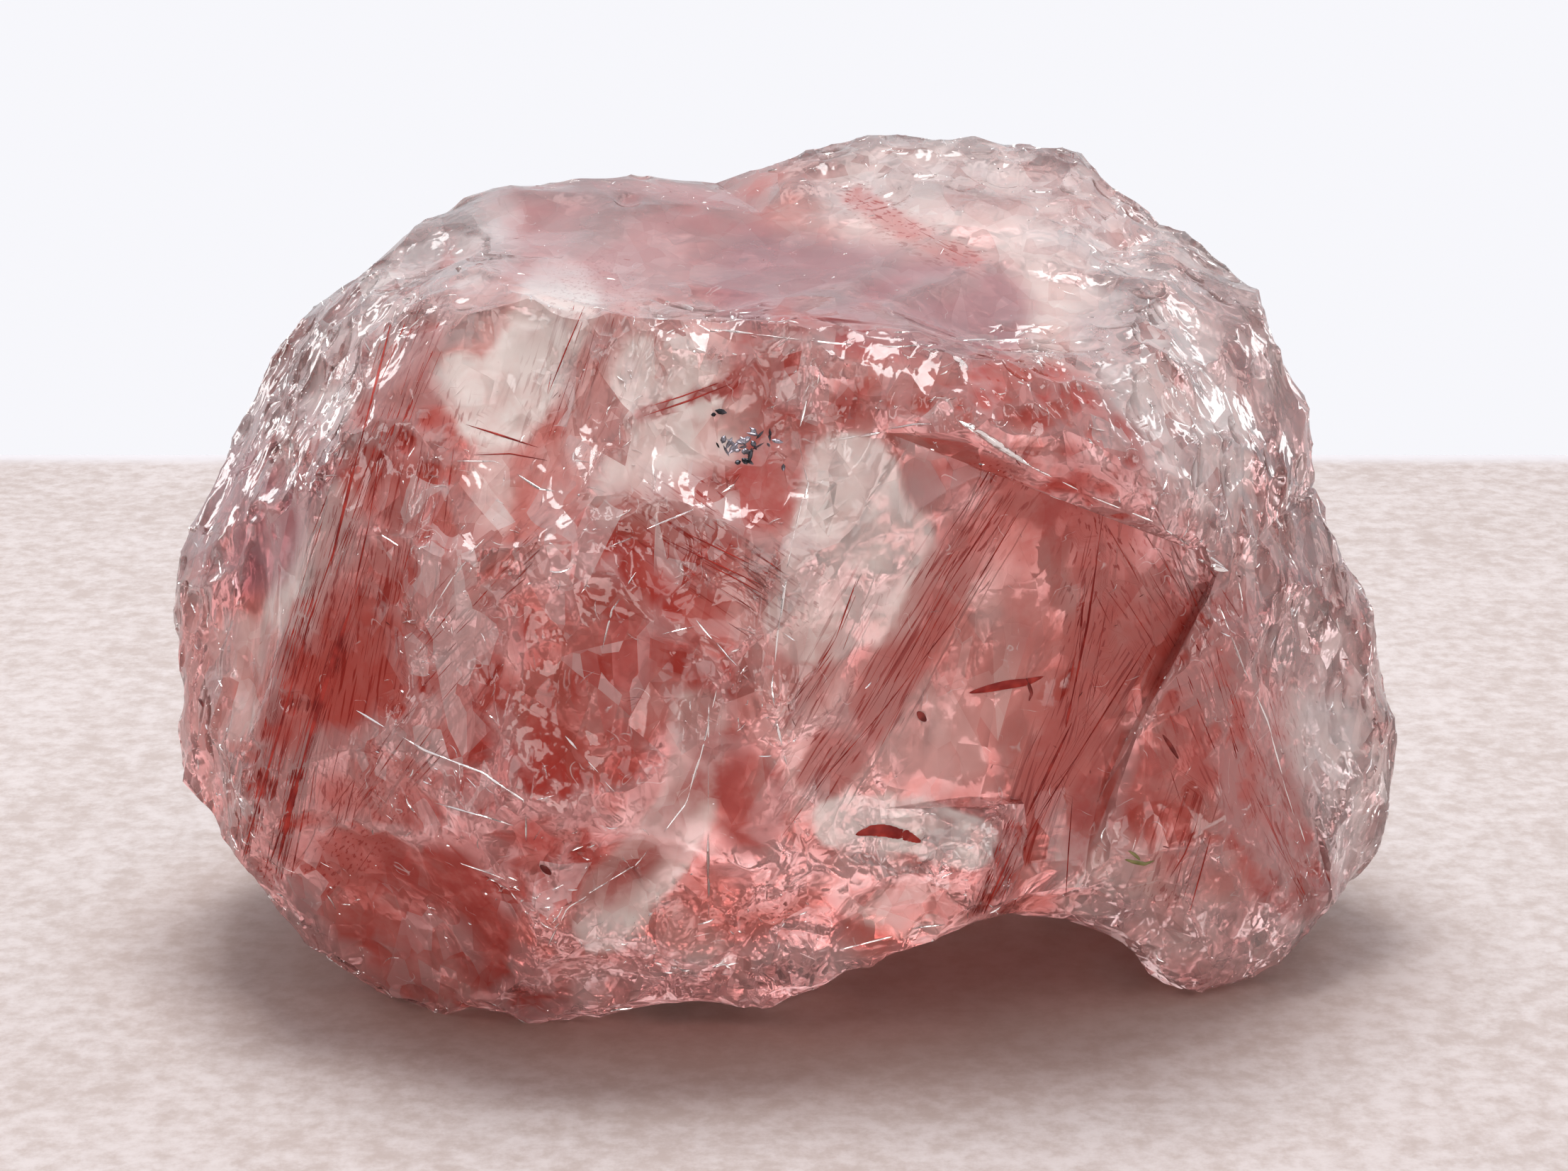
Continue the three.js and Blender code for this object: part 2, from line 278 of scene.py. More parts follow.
def proxy_of(obj):
    """Evenly spaced points on the solid as it is now, with their normals and their rise over the
    surface round them."""
    copy = bpy.data.objects.new("proxy", obj.data.copy())
    bpy.context.scene.collection.objects.link(copy)
    with_modifier(copy, "REMESH", mode="VOXEL", voxel_size=PROXY_VOXEL, adaptivity=0.0)
    v, t = arrays(copy.data)
    bpy.data.objects.remove(copy)
    n = relaxed(vertex_normals(v, t), t, len(v), 3)
    n /= np.linalg.norm(n, axis=1, keepdims=True)
    return v, n, np.clip(crest(v, t, 5) / (0.12 * MM), 0, 1)


def choose_scars(obj, chips, rng):
    """One set of scars, each as the centre, frame, stretch, radius and span of its ball."""
    v, n, rise = proxy_of(obj)
    front = facing(n)
    if chips["where"] == "ridge":
        weight = rise**3
    elif chips["where"] == "back":
        away = np.min([np.linalg.norm(v / MM - spot, axis=1) for spot, *_ in BACK_SCARS], axis=0)
        weight = rise**2 * (away < BACK_REACH)
    elif chips["where"] == "calm":
        weight = 1.0 * (rise < 0.3)
    else:
        weight = front * painted(to_frame(v), SHATTERED_STROKES) + (1 - front) * 0.35 * (rise > 0.15)
    scars = []
    for i in rng.choice(len(v), chips["count"], replace=False, p=weight / weight.sum()):
        axis = n[i] + rng.normal(0, chips["lean"], 3)
        turn = turned_to(axis / np.linalg.norm(axis), rng.uniform(0, 6.3))
        stretch = rng.uniform(0.45, 1.0)
        radius, bite = rng.uniform(*chips["radius"]), rng.uniform(*chips["bite"])
        scars.append(scar_at(v, v[i], turn, stretch, radius, bite))
    return [scar for scar in scars if scar]


def scar_at(v, spot, turn, stretch, radius, bite):
    """A ball that takes no more than its bite off the points, or None where it can't be cut alone."""
    axis = turn[:, 2]
    scale = np.array([1.0, stretch, 1.0])
    radius, bite = radius * MM, bite * MM
    centre = spot + axis * (radius - bite)
    near = v[np.abs(v - spot).max(axis=1) < 3.0 * math.sqrt(2 * radius * bite) + MM]
    for _ in range(4):  # moved out until nothing is deeper in the ball than the bite
        q = ((near - centre) @ turn) / scale
        centre = centre + axis * (radius - np.linalg.norm(q, axis=1).min() - bite)
    q = ((near - centre) @ turn) / scale
    far = np.linalg.norm(q, axis=1)
    touched = far < radius + 0.05 * MM
    if not touched.any():
        return None
    span = np.arccos(np.clip(-q[touched, 2] / far[touched], -1, 1)).max() + 0.10 + 0.4 * MM / radius
    if span > WIDEST_LENS:
        return None
    q = ((v[np.abs(v - centre).max(axis=1) < radius * 1.02] - centre) @ turn) / scale
    far = np.linalg.norm(q, axis=1)
    if ((far < radius * 1.01) & (-q[:, 2] < far * math.cos(span - 0.05))).any():
        return None
    return centre, turn, scale, radius, span


def fill_gap(obj):
    """Joins a ball of quartz into the gap behind."""
    middle, half, turn = FILL
    ball = bmesh.new()
    bmesh.ops.create_icosphere(ball, subdivisions=2, radius=MM)
    v = np.array([list(p.co) for p in ball.verts]) * half
    c, s = math.cos(turn), math.sin(turn)
    fill = new_object(
        "fill",
        np.array(middle) * MM + v @ np.array([[c, s, 0], [-s, c, 0], [0, 0, 1]]),
        [[p.index for p in face.verts] for face in ball.faces],
    )
    ball.free()
    with_modifier(obj, "BOOLEAN", operation="UNION", solver="MANIFOLD", object=fill)
    bpy.data.objects.remove(fill)


def back_scars(obj):
    """The wide breaks behind, which take the block corners off."""
    v = proxy_of(obj)[0]
    scars = []
    for spot, axis, radius, bite in BACK_SCARS:
        nearest = v[np.linalg.norm(v - np.array(spot) * MM, axis=1).argmin()]
        turn = turned_to(np.array(axis) / np.linalg.norm(axis), 0.0)
        scars.append(scar_at(v, nearest, turn, 0.8, radius, bite))
    return [scar for scar in scars if scar]


def cut_scars(obj, scars):
    """Takes the scars off, a batch of ones that stay clear of each other at a time."""
    batches = []
    for scar in scars:
        points, faces = lens(*scar)
        middle = (points.min(axis=0) + points.max(axis=0)) / 2
        reach = np.linalg.norm(points - middle, axis=1).max()
        for batch in batches:
            balls = np.array(batch["balls"])
            if (np.linalg.norm(balls[:, :3] - middle, axis=1) > balls[:, 3] + reach).all():
                break
        else:
            batch = {"balls": [], "points": [], "faces": [], "count": 0}
            batches.append(batch)
        batch["balls"].append((*middle, reach))
        batch["points"].append(points)
        batch["faces"].append(faces + batch["count"])
        batch["count"] += len(points)
    for batch in batches:
        cutter = new_object("cutter", np.concatenate(batch["points"]), np.concatenate(batch["faces"]))
        with_modifier(obj, "BOOLEAN", operation="DIFFERENCE", solver="MANIFOLD", object=cutter)
        bpy.data.objects.remove(cutter)


def build_stone():
    rng = np.random.default_rng(SCAR_SEED)
    obj = bpy.data.objects.new("quartz_stone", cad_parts["quartz"].data.copy())
    bpy.context.scene.collection.objects.link(obj)
    with_modifier(obj, "WELD", merge_threshold=0.001 * MM)
    for chips in SCAR_SETS:
        cut_scars(obj, choose_scars(obj, chips, rng))
    fill_gap(obj)
    cut_scars(obj, back_scars(obj))
    cut_scars(obj, choose_scars(obj, BACK_CHIPS, rng))
    with_modifier(obj, "DECIMATE", ratio=CUT_TRIANGLES / len(arrays(obj.data)[1]))
    split_long_edges(obj)
    obj.data.name = "quartz_stone"
    for polygon in obj.data.polygons:
        polygon.use_smooth = True
    obj.data.set_sharp_from_angle(angle=SHARP_ANGLE)
    return obj


def patch_tones(v, t, rng):
    """A random value for each smooth patch of faces, so neighbouring scars differ like broken glass."""
    normal = np.cross(v[t[:, 1]] - v[t[:, 0]], v[t[:, 2]] - v[t[:, 0]])
    normal /= np.maximum(np.linalg.norm(normal, axis=1, keepdims=True), 1e-20)
    ends = np.sort(np.concatenate([t[:, [0, 1]], t[:, [1, 2]], t[:, [2, 0]]]), axis=1)
    key = ends[:, 0].astype(np.int64) * len(v) + ends[:, 1]
    face = np.tile(np.arange(len(t)), 3)
    order = np.argsort(key, kind="stable")
    key, face = key[order], face[order]
    pair = np.flatnonzero(key[1:] == key[:-1])
    a, b = face[pair], face[pair + 1]
    smooth = np.einsum("ij,ij->i", normal[a], normal[b]) > math.cos(PATCH_ANGLE)
    a, b = a[smooth], b[smooth]
    label = np.arange(len(t))
    while True:
        low = np.minimum(label[a], label[b])
        new = label.copy()
        np.minimum.at(new, label[a], low)
        np.minimum.at(new, label[b], low)
        new = new[new]
        if (new == label).all():
            return rng.random(len(t))[label]
        label = new


def split_long_edges(obj):
    """Splits long edges until colour zones can be drawn on the vertices of flat faces too."""
    made = bmesh.new()
    made.from_mesh(obj.data)
    bmesh.ops.remove_doubles(made, verts=made.verts, dist=0.004 * MM)
    for _ in range(6):
        bmesh.ops.triangulate(made, faces=made.faces)
        long = [e for e in made.edges if e.calc_length() > LONGEST_EDGE]
        if not long:
            break
        bmesh.ops.subdivide_edges(made, edges=long, cuts=1)
    bmesh.ops.triangulate(made, faces=made.faces)
    made.to_mesh(obj.data)
    made.free()


# ---------------------------------------------------------------------------------------------
# Colour zones of the front, as strokes seen from the camera: strength, half width and softness in
# frame pixels, and the places the stroke passes
# ---------------------------------------------------------------------------------------------
FIRST_LINE = [(1420, 670), (1340, 800), (1290, 900), (1232, 1000), (1165, 1090)]
FIRST_LEFT_LINE = [(1215, 830), (1175, 930), (1120, 1010)]
RIM_LINE = [(1655, 770), (1700, 880), (1735, 1000), (1770, 1110), (1805, 1200), (1838, 1265)]
LEFT_SIDE_LINE = [(570, 600), (535, 760), (500, 900), (470, 1060), (440, 1190)]
LEFT_LINE = [(600, 470), (548, 590), (508, 690), (470, 800), (438, 930), (408, 1070), (388, 1205)]
DEEP_STROKES = {
    "left bundle": (1.0, 16, 22, LEFT_LINE),
    "left bundle right side": (0.95, 44, 60, LEFT_SIDE_LINE),
    "left bundle foot": (1.0, 46, 26, [(432, 1000), (415, 1100), (395, 1200)]),
    "left bundle outlier": (1.0, 14, 12, [(430, 860), (400, 960), (372, 1080), (352, 1205)]),
    "lower left fan": (0.95, 80, 70, [(500, 1050), (560, 1130), (700, 1180)]),
    "lower left": (1.0, 100, 60, [(590, 1000), (600, 1120), (700, 1140)]),
    "lower left corner": (0.62, 66, 60, [(470, 1290), (600, 1360), (720, 1420)]),
    "lower left flame": (0.9, 24, 22, [(690, 1250), (680, 1340), (720, 1390)]),
    "middle left": (0.50, 60, 70, [(570, 740), (630, 860), (600, 960)]),
    "middle": (0.75, 90, 80, [(900, 810), (930, 950), (900, 1080), (820, 1170)]),
    "middle facet": (0.5, 40, 40, [(690, 800), (700, 860)]),
    "middle low": (0.55, 60, 60, [(760, 1030), (700, 940)]),
    "above middle": (0.5, 26, 26, [(865, 770), (890, 800), (960, 820)]),
    "beside the window": (0.55, 16, 24, [(875, 450), (840, 520), (805, 600)]),
    "beside the spot": (0.75, 34, 40, [(1080, 500), (1105, 600), (1085, 690), (1000, 730)]),
    "needle face": (0.40, 60, 60, [(1000, 720), (1060, 800), (1080, 880)]),
    "below the ridge": (0.85, 34, 30, [(1030, 1085), (1075, 1120), (1060, 1170)]),
    "ridge inner side": (0.45, 30, 30, [(1120, 930), (1140, 1010)]),
    "bowl top": (0.70, 40, 40, [(1340, 670), (1390, 655), (1470, 690), (1560, 740)]),
    "first bundle": (1.0, 30, 20, FIRST_LINE),
    "first bundle left": (0.65, 10, 14, FIRST_LEFT_LINE),
    "second bundle": (1.0, 18, 22, [(1555, 770), (1535, 900), (1505, 1030), (1450, 1150), (1395, 1290)]),
    "third bundle": (0.7, 10, 16, [(1600, 925), (1560, 1000), (1480, 1110), (1405, 1230), (1380, 1290)]),
    "bowl right": (0.62, 60, 60, [(1600, 740), (1665, 820), (1710, 930), (1745, 1030)]),
    "bowl low right": (0.90, 40, 40, [(1765, 1080), (1790, 1160), (1825, 1240)]),
    "bowl rim": (0.9, 12, 34, RIM_LINE),
    "bowl body": (0.50, 120, 90, [(1560, 850), (1620, 980), (1660, 1100)]),
    "low stripes": (0.6, 12, 14, [(1530, 1110), (1512, 1230)]),
    "low stripes right": (0.45, 10, 14, [(1690, 1110), (1650, 1260)]),
    "shelf left": (0.7, 26, 30, [(1210, 575), (1300, 560), (1380, 590)]),
    "shelf right": (0.8, 34, 34, [(1400, 540), (1500, 570), (1570, 640)]),
    "rim underside": (0.55, 18, 22, [(1110, 450), (1180, 470), (1260, 480)]),
    "top stripe": (0.7, 13, 12, [(1208, 278), (1290, 330), (1372, 368)]),
    "top stripes left": (0.5, 8, 12, [(640, 330), (620, 430)]),
    "top ridge left": (0.5, 18, 24, [(1060, 250), (1160, 220)]),
    "needles in the white": (0.8, 7, 8, [(905, 585), (970, 565), (1035, 545)]),
    "foot low": (0.35, 40, 40, [(1640, 1320), (1760, 1330)]),
}
PINK_STROKES = {
    "left middle": (1.0, 160, 80, [(620, 700), (640, 900), (620, 1100)]),
    "middle": (1.0, 150, 80, [(860, 860), (900, 1050), (820, 1200)]),
    "lower": (0.78, 100, 80, [(520, 1330), (800, 1330), (1040, 1330), (1260, 1300)]),
    "lower middle": (0.65, 60, 60, [(1060, 1220), (1150, 1280)]),
    "needle face": (0.6, 80, 60, [(980, 700), (1060, 780)]),
    "bowl": (1.0, 200, 120, [(1420, 820), (1500, 1000), (1560, 1150)]),
    "shelf": (0.75, 50, 40, [(1150, 560), (1350, 560), (1520, 590), (1650, 720)]),
    "under the window": (0.7, 60, 50, [(700, 640), (720, 720)]),
    "left flank": (1.0, 120, 50, [(380, 690), (340, 850), (300, 1000), (320, 1120)]),
    "left edge low": (0.6, 40, 50, [(300, 1050), (340, 1180), (420, 1330)]),
    "top": (0.60, 80, 80, [(620, 330), (900, 300), (1200, 380)]),
    "lobe": (0.35, 60, 80, [(1820, 800), (1860, 900)]),
}
MAUVE_STROKES = {
    "top face": (0.9, 50, 50, [(1080, 400), (1220, 420), (1380, 440)]),
    "top face left": (0.6, 60, 60, [(640, 320), (800, 320), (1000, 350)]),
    "left facet": (1.0, 60, 40, [(400, 640), (350, 760)]),
    "right edge": (0.5, 20, 20, [(1810, 560), (1800, 690)]),
}
CREAM_STROKES = {
    "window": (0.95, 34, 36, [(790, 425), (755, 500), (715, 575)]),
    "window glow": (1.0, 26, 30, [(650, 540), (680, 580)]),
    "white corner": (0.62, 34, 36, [(900, 520), (930, 620), (880, 700)]),
    "facet by the spot": (0.8, 22, 20, [(965, 500), (990, 560)]),
    "around the spot": (0.6, 44, 40, [(1000, 660), (960, 720)]),
    "panel": (1.0, 56, 30, [(1200, 680), (1180, 780), (1150, 870)]),
    "panel glow": (1.0, 44, 34, [(1262, 770), (1235, 850)]),
    "low facet": (0.85, 26, 34, [(850, 1300), (905, 1225), (965, 1150)]),
    "right block": (0.85, 60, 50, [(1640, 520), (1690, 640)]),
    "bowl middle": (0.30, 80, 70, [(1390, 880), (1330, 1010)]),
    "bowl foot": (0.45, 50, 60, [(1560, 1240), (1660, 1290)]),
    "lower ridge": (0.9, 30, 26, [(985, 1010), (975, 1120), (930, 1210), (860, 1260)]),
    "low middle": (0.35, 30, 40, [(930, 1300), (980, 1340)]),
    "ledge": (1.0, 30, 16, [(1185, 1160), (1290, 1165), (1370, 1190)]),
    "ledge foot": (0.35, 40, 30, [(1220, 1250), (1330, 1290)]),
    "peak": (0.45, 110, 80, [(1300, 260), (1420, 330), (1560, 380)]),
    "left of the bundle": (0.7, 26, 30, [(470, 720), (415, 860)]),
    "left facet": (0.8, 20, 18, [(420, 605), (470, 570)]),
    "left facet above": (0.8, 14, 14, [(530, 400), (565, 412)]),
    "left glow": (0.35, 26, 30, [(340, 900), (330, 1010)]),
    "lobe glow": (0.8, 36, 50, [(1850, 1030), (1900, 1090)]),
    "left middle light": (0.5, 24, 30, [(700, 620), (690, 720), (660, 830)]),
    "upper left": (0.45, 60, 50, [(500, 400), (650, 310)]),
    "top left": (0.3, 50, 60, [(700, 360), (900, 370)]),
}
CLEAR_STROKES = {
    "left flank": (0.35, 30, 40, [(290, 700), (262, 850), (270, 1080)]),
    "upper left": (1.0, 75, 60, [(420, 560), (480, 440), (600, 360)]),
    "right block": (1.0, 90, 60, [(1640, 470), (1700, 600), (1730, 740)]),
    "peak edge": (0.7, 50, 60, [(1200, 220), (1400, 200), (1600, 330), (1760, 480)]),
    "lobe": (1.0, 90, 60, [(1830, 780), (1880, 950), (1920, 1130), (1900, 1260)]),
    "lower edge": (0.6, 40, 50, [(760, 1420), (950, 1420), (1150, 1380)]),
    "foot": (0.6, 50, 50, [(1560, 1330), (1720, 1360)]),
    "left corner": (0.5, 40, 40, [(380, 1270), (420, 1360)]),
}
# Ridges and cracks that catch the light, as broken lines of thin steps: width in mm and places.
MIDDLE_RIDGE_LINE = [
    *[(1140, 560), (1125, 620), (1140, 680), (1120, 760), (1104, 830)],
    *[(1095, 900), (1088, 970), (1096, 1030), (1110, 1080)],
]
LOWER_RIDGE_LINE = [(1010, 970), (990, 1060), (970, 1130), (900, 1220), (800, 1280), (770, 1340)]
SHELF_LINE = [(1180, 620), (1290, 600), (1370, 600), (1440, 650), (1540, 700), (1640, 740), (1730, 800)]
CRACKS = {
    "middle ridge": (0.11, MIDDLE_RIDGE_LINE),
    "shelf edge": (0.11, SHELF_LINE),
    "shelf blade": (0.11, [(1355, 595), (1400, 625), (1450, 655)]),
    "right ridge": (0.10, [(1720, 850), (1755, 940), (1790, 1020), (1815, 1110), (1850, 1220)]),
    "rim": (0.11, [(940, 430), (1000, 465), (1180, 485), (1270, 490), (1360, 480), (1450, 475)]),
    "window foot": (0.11, [(640, 650), (700, 650), (760, 690), (820, 700)]),
    "ledge above middle": (0.11, [(860, 770), (920, 745), (980, 720), (1040, 680)]),
    "lower left ridge": (0.11, [(500, 1000), (600, 1060), (680, 1090), (740, 1130), (740, 1190)]),
    "lower ridge": (0.11, LOWER_RIDGE_LINE),
    "upright line": (0.10, [(1001, 990), (1000, 1140), (999, 1300)]),
    "crack one": (0.10, [(795, 1035), (830, 1075), (875, 1125)]),
    "crack two": (0.10, [(610, 1130), (680, 1150), (728, 1165)]),
    "crack three": (0.10, [(645, 1215), (690, 1230), (728, 1245)]),
    "crack four": (0.10, [(850, 920), (865, 860), (905, 800)]),
    "crack five": (0.10, [(930, 895), (985, 882)]),
    "crack six": (0.10, [(690, 760), (650, 800), (600, 880)]),
    "crack seven": (0.10, [(980, 870), (1030, 930), (1060, 960)]),
    "arch rim": (0.11, [(1180, 1340), (1300, 1310), (1400, 1300), (1560, 1330)]),
}

# Bundles of parallel needles: half width and softness of the zone, its strength, and its line.
LEFT_BUNDLE_LINE = [(595, 460), (545, 590), (500, 700), (460, 820), (425, 950), (395, 1080), (370, 1210)]
BUNDLES = {
    "left": (40, 24, 1.0, LEFT_BUNDLE_LINE),
    "left outer": (14, 10, 1.0, [(435, 845), (400, 960), (370, 1090), (345, 1210)]),
    "left inner": (14, 10, 1.0, [(500, 850), (455, 990), (420, 1110), (395, 1220)]),
    "left side": (60, 60, 0.8, [(590, 620), (550, 800), (510, 960), (470, 1150)]),
    "lower left": (50, 40, 0.7, [(640, 960), (560, 1060), (470, 1190)]),
    "middle left": (40, 40, 0.5, [(760, 760), (660, 860), (600, 930)]),
    "first": (40, 26, 1.0, FIRST_LINE),
    "first left": (22, 20, 0.9, FIRST_LEFT_LINE),
    "second": (34, 24, 1.0, [(1550, 770), (1530, 900), (1505, 1030), (1450, 1150), (1395, 1290)]),
    "third": (22, 16, 1.0, [(1605, 920), (1560, 1000), (1480, 1110), (1405, 1230), (1380, 1290)]),
    "bowl right": (80, 60, 0.45, [(1600, 760), (1700, 930), (1760, 1100)]),
    "bowl rim": (16, 20, 0.6, RIM_LINE),
    "low stripes": (30, 20, 0.8, [(1690, 1120), (1650, 1250)]),
    "needle face": (60, 40, 0.7, [(960, 740), (1090, 830)]),
    "window": (60, 40, 0.5, [(840, 440), (790, 600)]),
    "top": (20, 14, 0.8, [(1208, 278), (1290, 330), (1372, 368)]),
}


def clouds(v, size, octaves, seed):
    """Soft noise from about 0 to 1 at each vertex, in patches about size millimetres across."""
    shift = Vector((17.3 * seed, -9.1 * seed, 5.7 * seed))
    scale = 1 / (size * MM)
    return np.array([0.5 + 0.5 * noise.fractal(Vector(p) * scale + shift, 0.9, 2.0, octaves) for p in v])


def grain_of(v, seen):
    """How much of each vertex lies in a needle bundle, and coordinates in millimetres whose third
    runs along the needles."""
    share = np.zeros(len(v))
    grain = np.zeros((len(v), 3))
    nearest = np.full(len(v), 1e9)
    for half, soft, strength, places in BUNDLES.values():
        first, last = np.array(places[0], float), np.array(places[-1], float)
        d = (last - first) / np.linalg.norm(last - first)
        lengthwise = ACROSS * d[0] - UPWARD * d[1]
        sidewise = ACROSS * d[1] + UPWARD * d[0]
        away = along(seen, places)
        share = np.maximum(share, strength * ramp(away, half + soft, half))
        mine = away - half < nearest
        nearest[mine] = (away - half)[mine]
        local = np.stack([v @ sidewise, v @ AHEAD * 0.5, v @ lengthwise / 45], axis=1) / MM
        grain[mine] = local[mine]
    return share, grain


def paint_zones(obj):
    """Colour zones on the vertices: strokes where the camera looks, soft clouds on the other sides."""
    v, t = arrays(obj.data)
    n = relaxed(vertex_normals(v, t), t, len(v), 8)
    n /= np.linalg.norm(n, axis=1, keepdims=True)
    seen = to_frame(v)
    front = facing(n)
    cloud = clouds(v, 4.0, 4, 1)
    patch = clouds(v * [1.0, 0.7, 0.6], 9.0, 2, 2)
    veins = clouds((v @ turned_to(np.array([0.5, 0.25, 0.83]), 0.0)) * [1, 1, 0.25], 2.6, 3, 3)
    streak, grain = grain_of(v, seen)

    def zone(strokes, elsewhere):
        return front * painted(seen, strokes) + (1 - front) * elsewhere

    deep = ramp(veins, 0.50, 0.68) * ramp(patch, 0.42, 0.60)
    pale_pink = 0.45 + 0.55 * ramp(cloud, 0.25, 0.60)
    water = 0.7 + 0.6 * ramp(veins, 0.35, 0.6)
    crests = relaxed(crest(v, t, 12)[:, None], t, len(v), 1)[:, 0]
    zones = {
        "deep": zone(DEEP_STROKES, deep) * (0.75 + 0.5 * cloud),
        # Faces that point down are painted deeper pink so that the light they throw onto the floor
        # beneath reddens its shade: painted light standing in for red light through the stone.
        "pink": zone(PINK_STROKES, ramp(patch, 0.36, 0.60)) * pale_pink + 0.8 * ramp(-n[:, 2], 0.3, 0.7),
        "mauve": zone(MAUVE_STROKES, 0.4 * ramp(veins, 0.52, 0.36)),
        "cream": zone(CREAM_STROKES, 0.7 * ramp(patch, 0.50, 0.34)),
        "clear": zone(CLEAR_STROKES, 0.9 * ramp(cloud, 0.48, 0.66)) * water,
        "streak": front * streak + (1 - front) * ramp(patch, 0.48, 0.60),
        "haze": ramp(cloud, 0.30, 0.70),
        "shattered": zone(SHATTERED_STROKES, ramp(cloud, 0.4, 0.6)),
        # Crests, which the material paints paler as a painted edge highlight.
        "ridge": ramp(crests, 0, 0.06 * MM),
    }

    def keep(name, kind, domain, field, values):
        data = obj.data.attributes.new(name, kind, domain).data
        data.foreach_set(field, values.astype(np.float32).ravel())

    for name, values in zones.items():
        keep(name, "FLOAT", "POINT", "value", np.clip(values, 0, 1))
    keep("grain", "FLOAT_VECTOR", "POINT", "vector", grain)
    tones = patch_tones(v, t, np.random.default_rng(SCAR_SEED + 1))
    keep("tone", "FLOAT", "FACE", "value", tones)


# ---------------------------------------------------------------------------------------------
# Materials
# ---------------------------------------------------------------------------------------------
class Nodes:
    """Short calls for building the node tree of a material or a world."""

    def __init__(self, owner):
        owner.use_nodes = True
        self.tree = owner.node_tree
        self.shader = self.tree.nodes.get("Principled BSDF")
        self.output = self.tree.nodes.get("Material Output")

    def add(self, kind, **settings):
        node = self.tree.nodes.new("ShaderNode" + kind)
        for key, value in settings.items():
            setattr(node, key, value)
        return node

    def put(self, socket, value):
        if isinstance(value, bpy.types.NodeSocket):
            self.tree.links.new(value, socket)
        elif isinstance(value, tuple) and len(value) == 3 and socket.type == "RGBA":
            socket.default_value = (*value, 1)
        else:
            socket.default_value = value

    def surface(self, name, value):
        self.put(self.shader.inputs[name], value)

    def math(self, operation, *values, clamp=False):
        node = self.add("Math", operation=operation, use_clamp=clamp)
        for socket, value in zip(node.inputs, values):
            self.put(socket, value)
        return node.outputs[0]

    def times(self, first, *others):
        for value in others:
            first = self.math("MULTIPLY", first, value)
        return first

    def plus(self, first, *others):
        for value in others:
            first = self.math("ADD", first, value)
        return first

    def minus(self, first, *others):
        for value in others:
            first = self.math("SUBTRACT", first, value)
        return first

    def mix(self, factor, a, b):
        node = self.add("Mix", data_type="RGBA")
        self.put(node.inputs["Factor"], factor)
        self.put(node.inputs[6], a)
        self.put(node.inputs[7], b)
        return node.outputs[2]

    def blend(self, factor, a, b):
        node = self.add("Mix", data_type="FLOAT")
        self.put(node.inputs["Factor"], factor)
        self.put(node.inputs[2], a)
        self.put(node.inputs[3], b)
        return node.outputs[0]

    def range(self, value, low, high, to_low=0.0, to_high=1.0):
        """A value turned smoothly from one range to another, and held at its ends."""
        node = self.add("MapRange", interpolation_type="SMOOTHSTEP")
        names = ("Value", "From Min", "From Max", "To Min", "To Max")
        for name, x in zip(names, (value, low, high, to_low, to_high)):
            self.put(node.inputs[name], x)
        return node.outputs["Result"]

    def attribute(self, name):
        return self.add("Attribute", attribute_name=name).outputs["Fac"]

    def place(self, turn=(0, 0, 0), stretch=(1, 1, 1)):
        """Object coordinates turned and stretched, for grain that runs one way."""
        node = self.add("Mapping", vector_type="POINT")
        self.tree.links.new(self.add("TexCoord").outputs["Object"], node.inputs["Vector"])
        node.inputs["Rotation"].default_value = tuple(math.radians(a) for a in turn)
        node.inputs["Scale"].default_value = stretch
        return node.outputs["Vector"]

    def noise(self, vector, size, detail=4.0, rough=0.55, bend=0.0):
        """Soft noise whose patches are about size millimetres."""
        node = self.add("TexNoise")
        self.put(node.inputs["Vector"], vector)
        self.put(node.inputs["Scale"], 1 / (size * MM))
        self.put(node.inputs["Detail"], detail)
        self.put(node.inputs["Roughness"], rough)
        self.put(node.inputs["Distortion"], bend)
        return node.outputs["Fac"]

    def cells(self, vector, size):
        """Straight-edged cells about size millimetres across."""
        node = self.add("TexVoronoi", feature="F1")
        self.put(node.inputs["Vector"], vector)
        self.put(node.inputs["Scale"], 1 / (size * MM))
        return node.outputs

    def vector_math(self, operation, a, b=None):
        node = self.add("VectorMath", operation=operation)
        self.put(node.inputs[0], a)
        if b is not None:
            self.put(node.inputs[1], b)
        return node.outputs

    def tilted_cells(self, vector, size, tilt):
        """Height of cells that each lean their own way, and the distance to each cell's middle."""
        cell = self.cells(vector, size)
        arm = self.vector_math("SUBTRACT", vector, cell["Position"])["Vector"]
        lean = self.vector_math("SUBTRACT", cell["Color"], (0.5, 0.5, 0.5))["Vector"]
        height = self.vector_math("DOT_PRODUCT", arm, lean)["Value"]
        return self.times(height, tilt), cell["Distance"]

    def cell_tone(self, vector, size):
        """A value from 0 to 1 that is the same all over one cell."""
        split = self.add("SeparateColor")
        self.put(split.inputs[0], self.cells(vector, size)["Color"])
        return split.outputs[0]


PALE = (0.92, 0.60, 0.56)
PINK = (0.70, 0.21, 0.175)
DEEP = (0.44, 0.052, 0.040)
THREAD = (0.26, 0.018, 0.013)
CREAM = (1.0, 0.94, 0.89)
MAUVE = (0.46, 0.20, 0.24)
WATER = (1.0, 0.92, 0.91)
WHITE = (0.99, 0.95, 0.94)
SHADE = (0.38, 0.08, 0.06)
QUARTZ_IOR = 1.544
INNER_TINT = (0.96, 0.58, 0.56)
INNER_DENSITY = 32.0


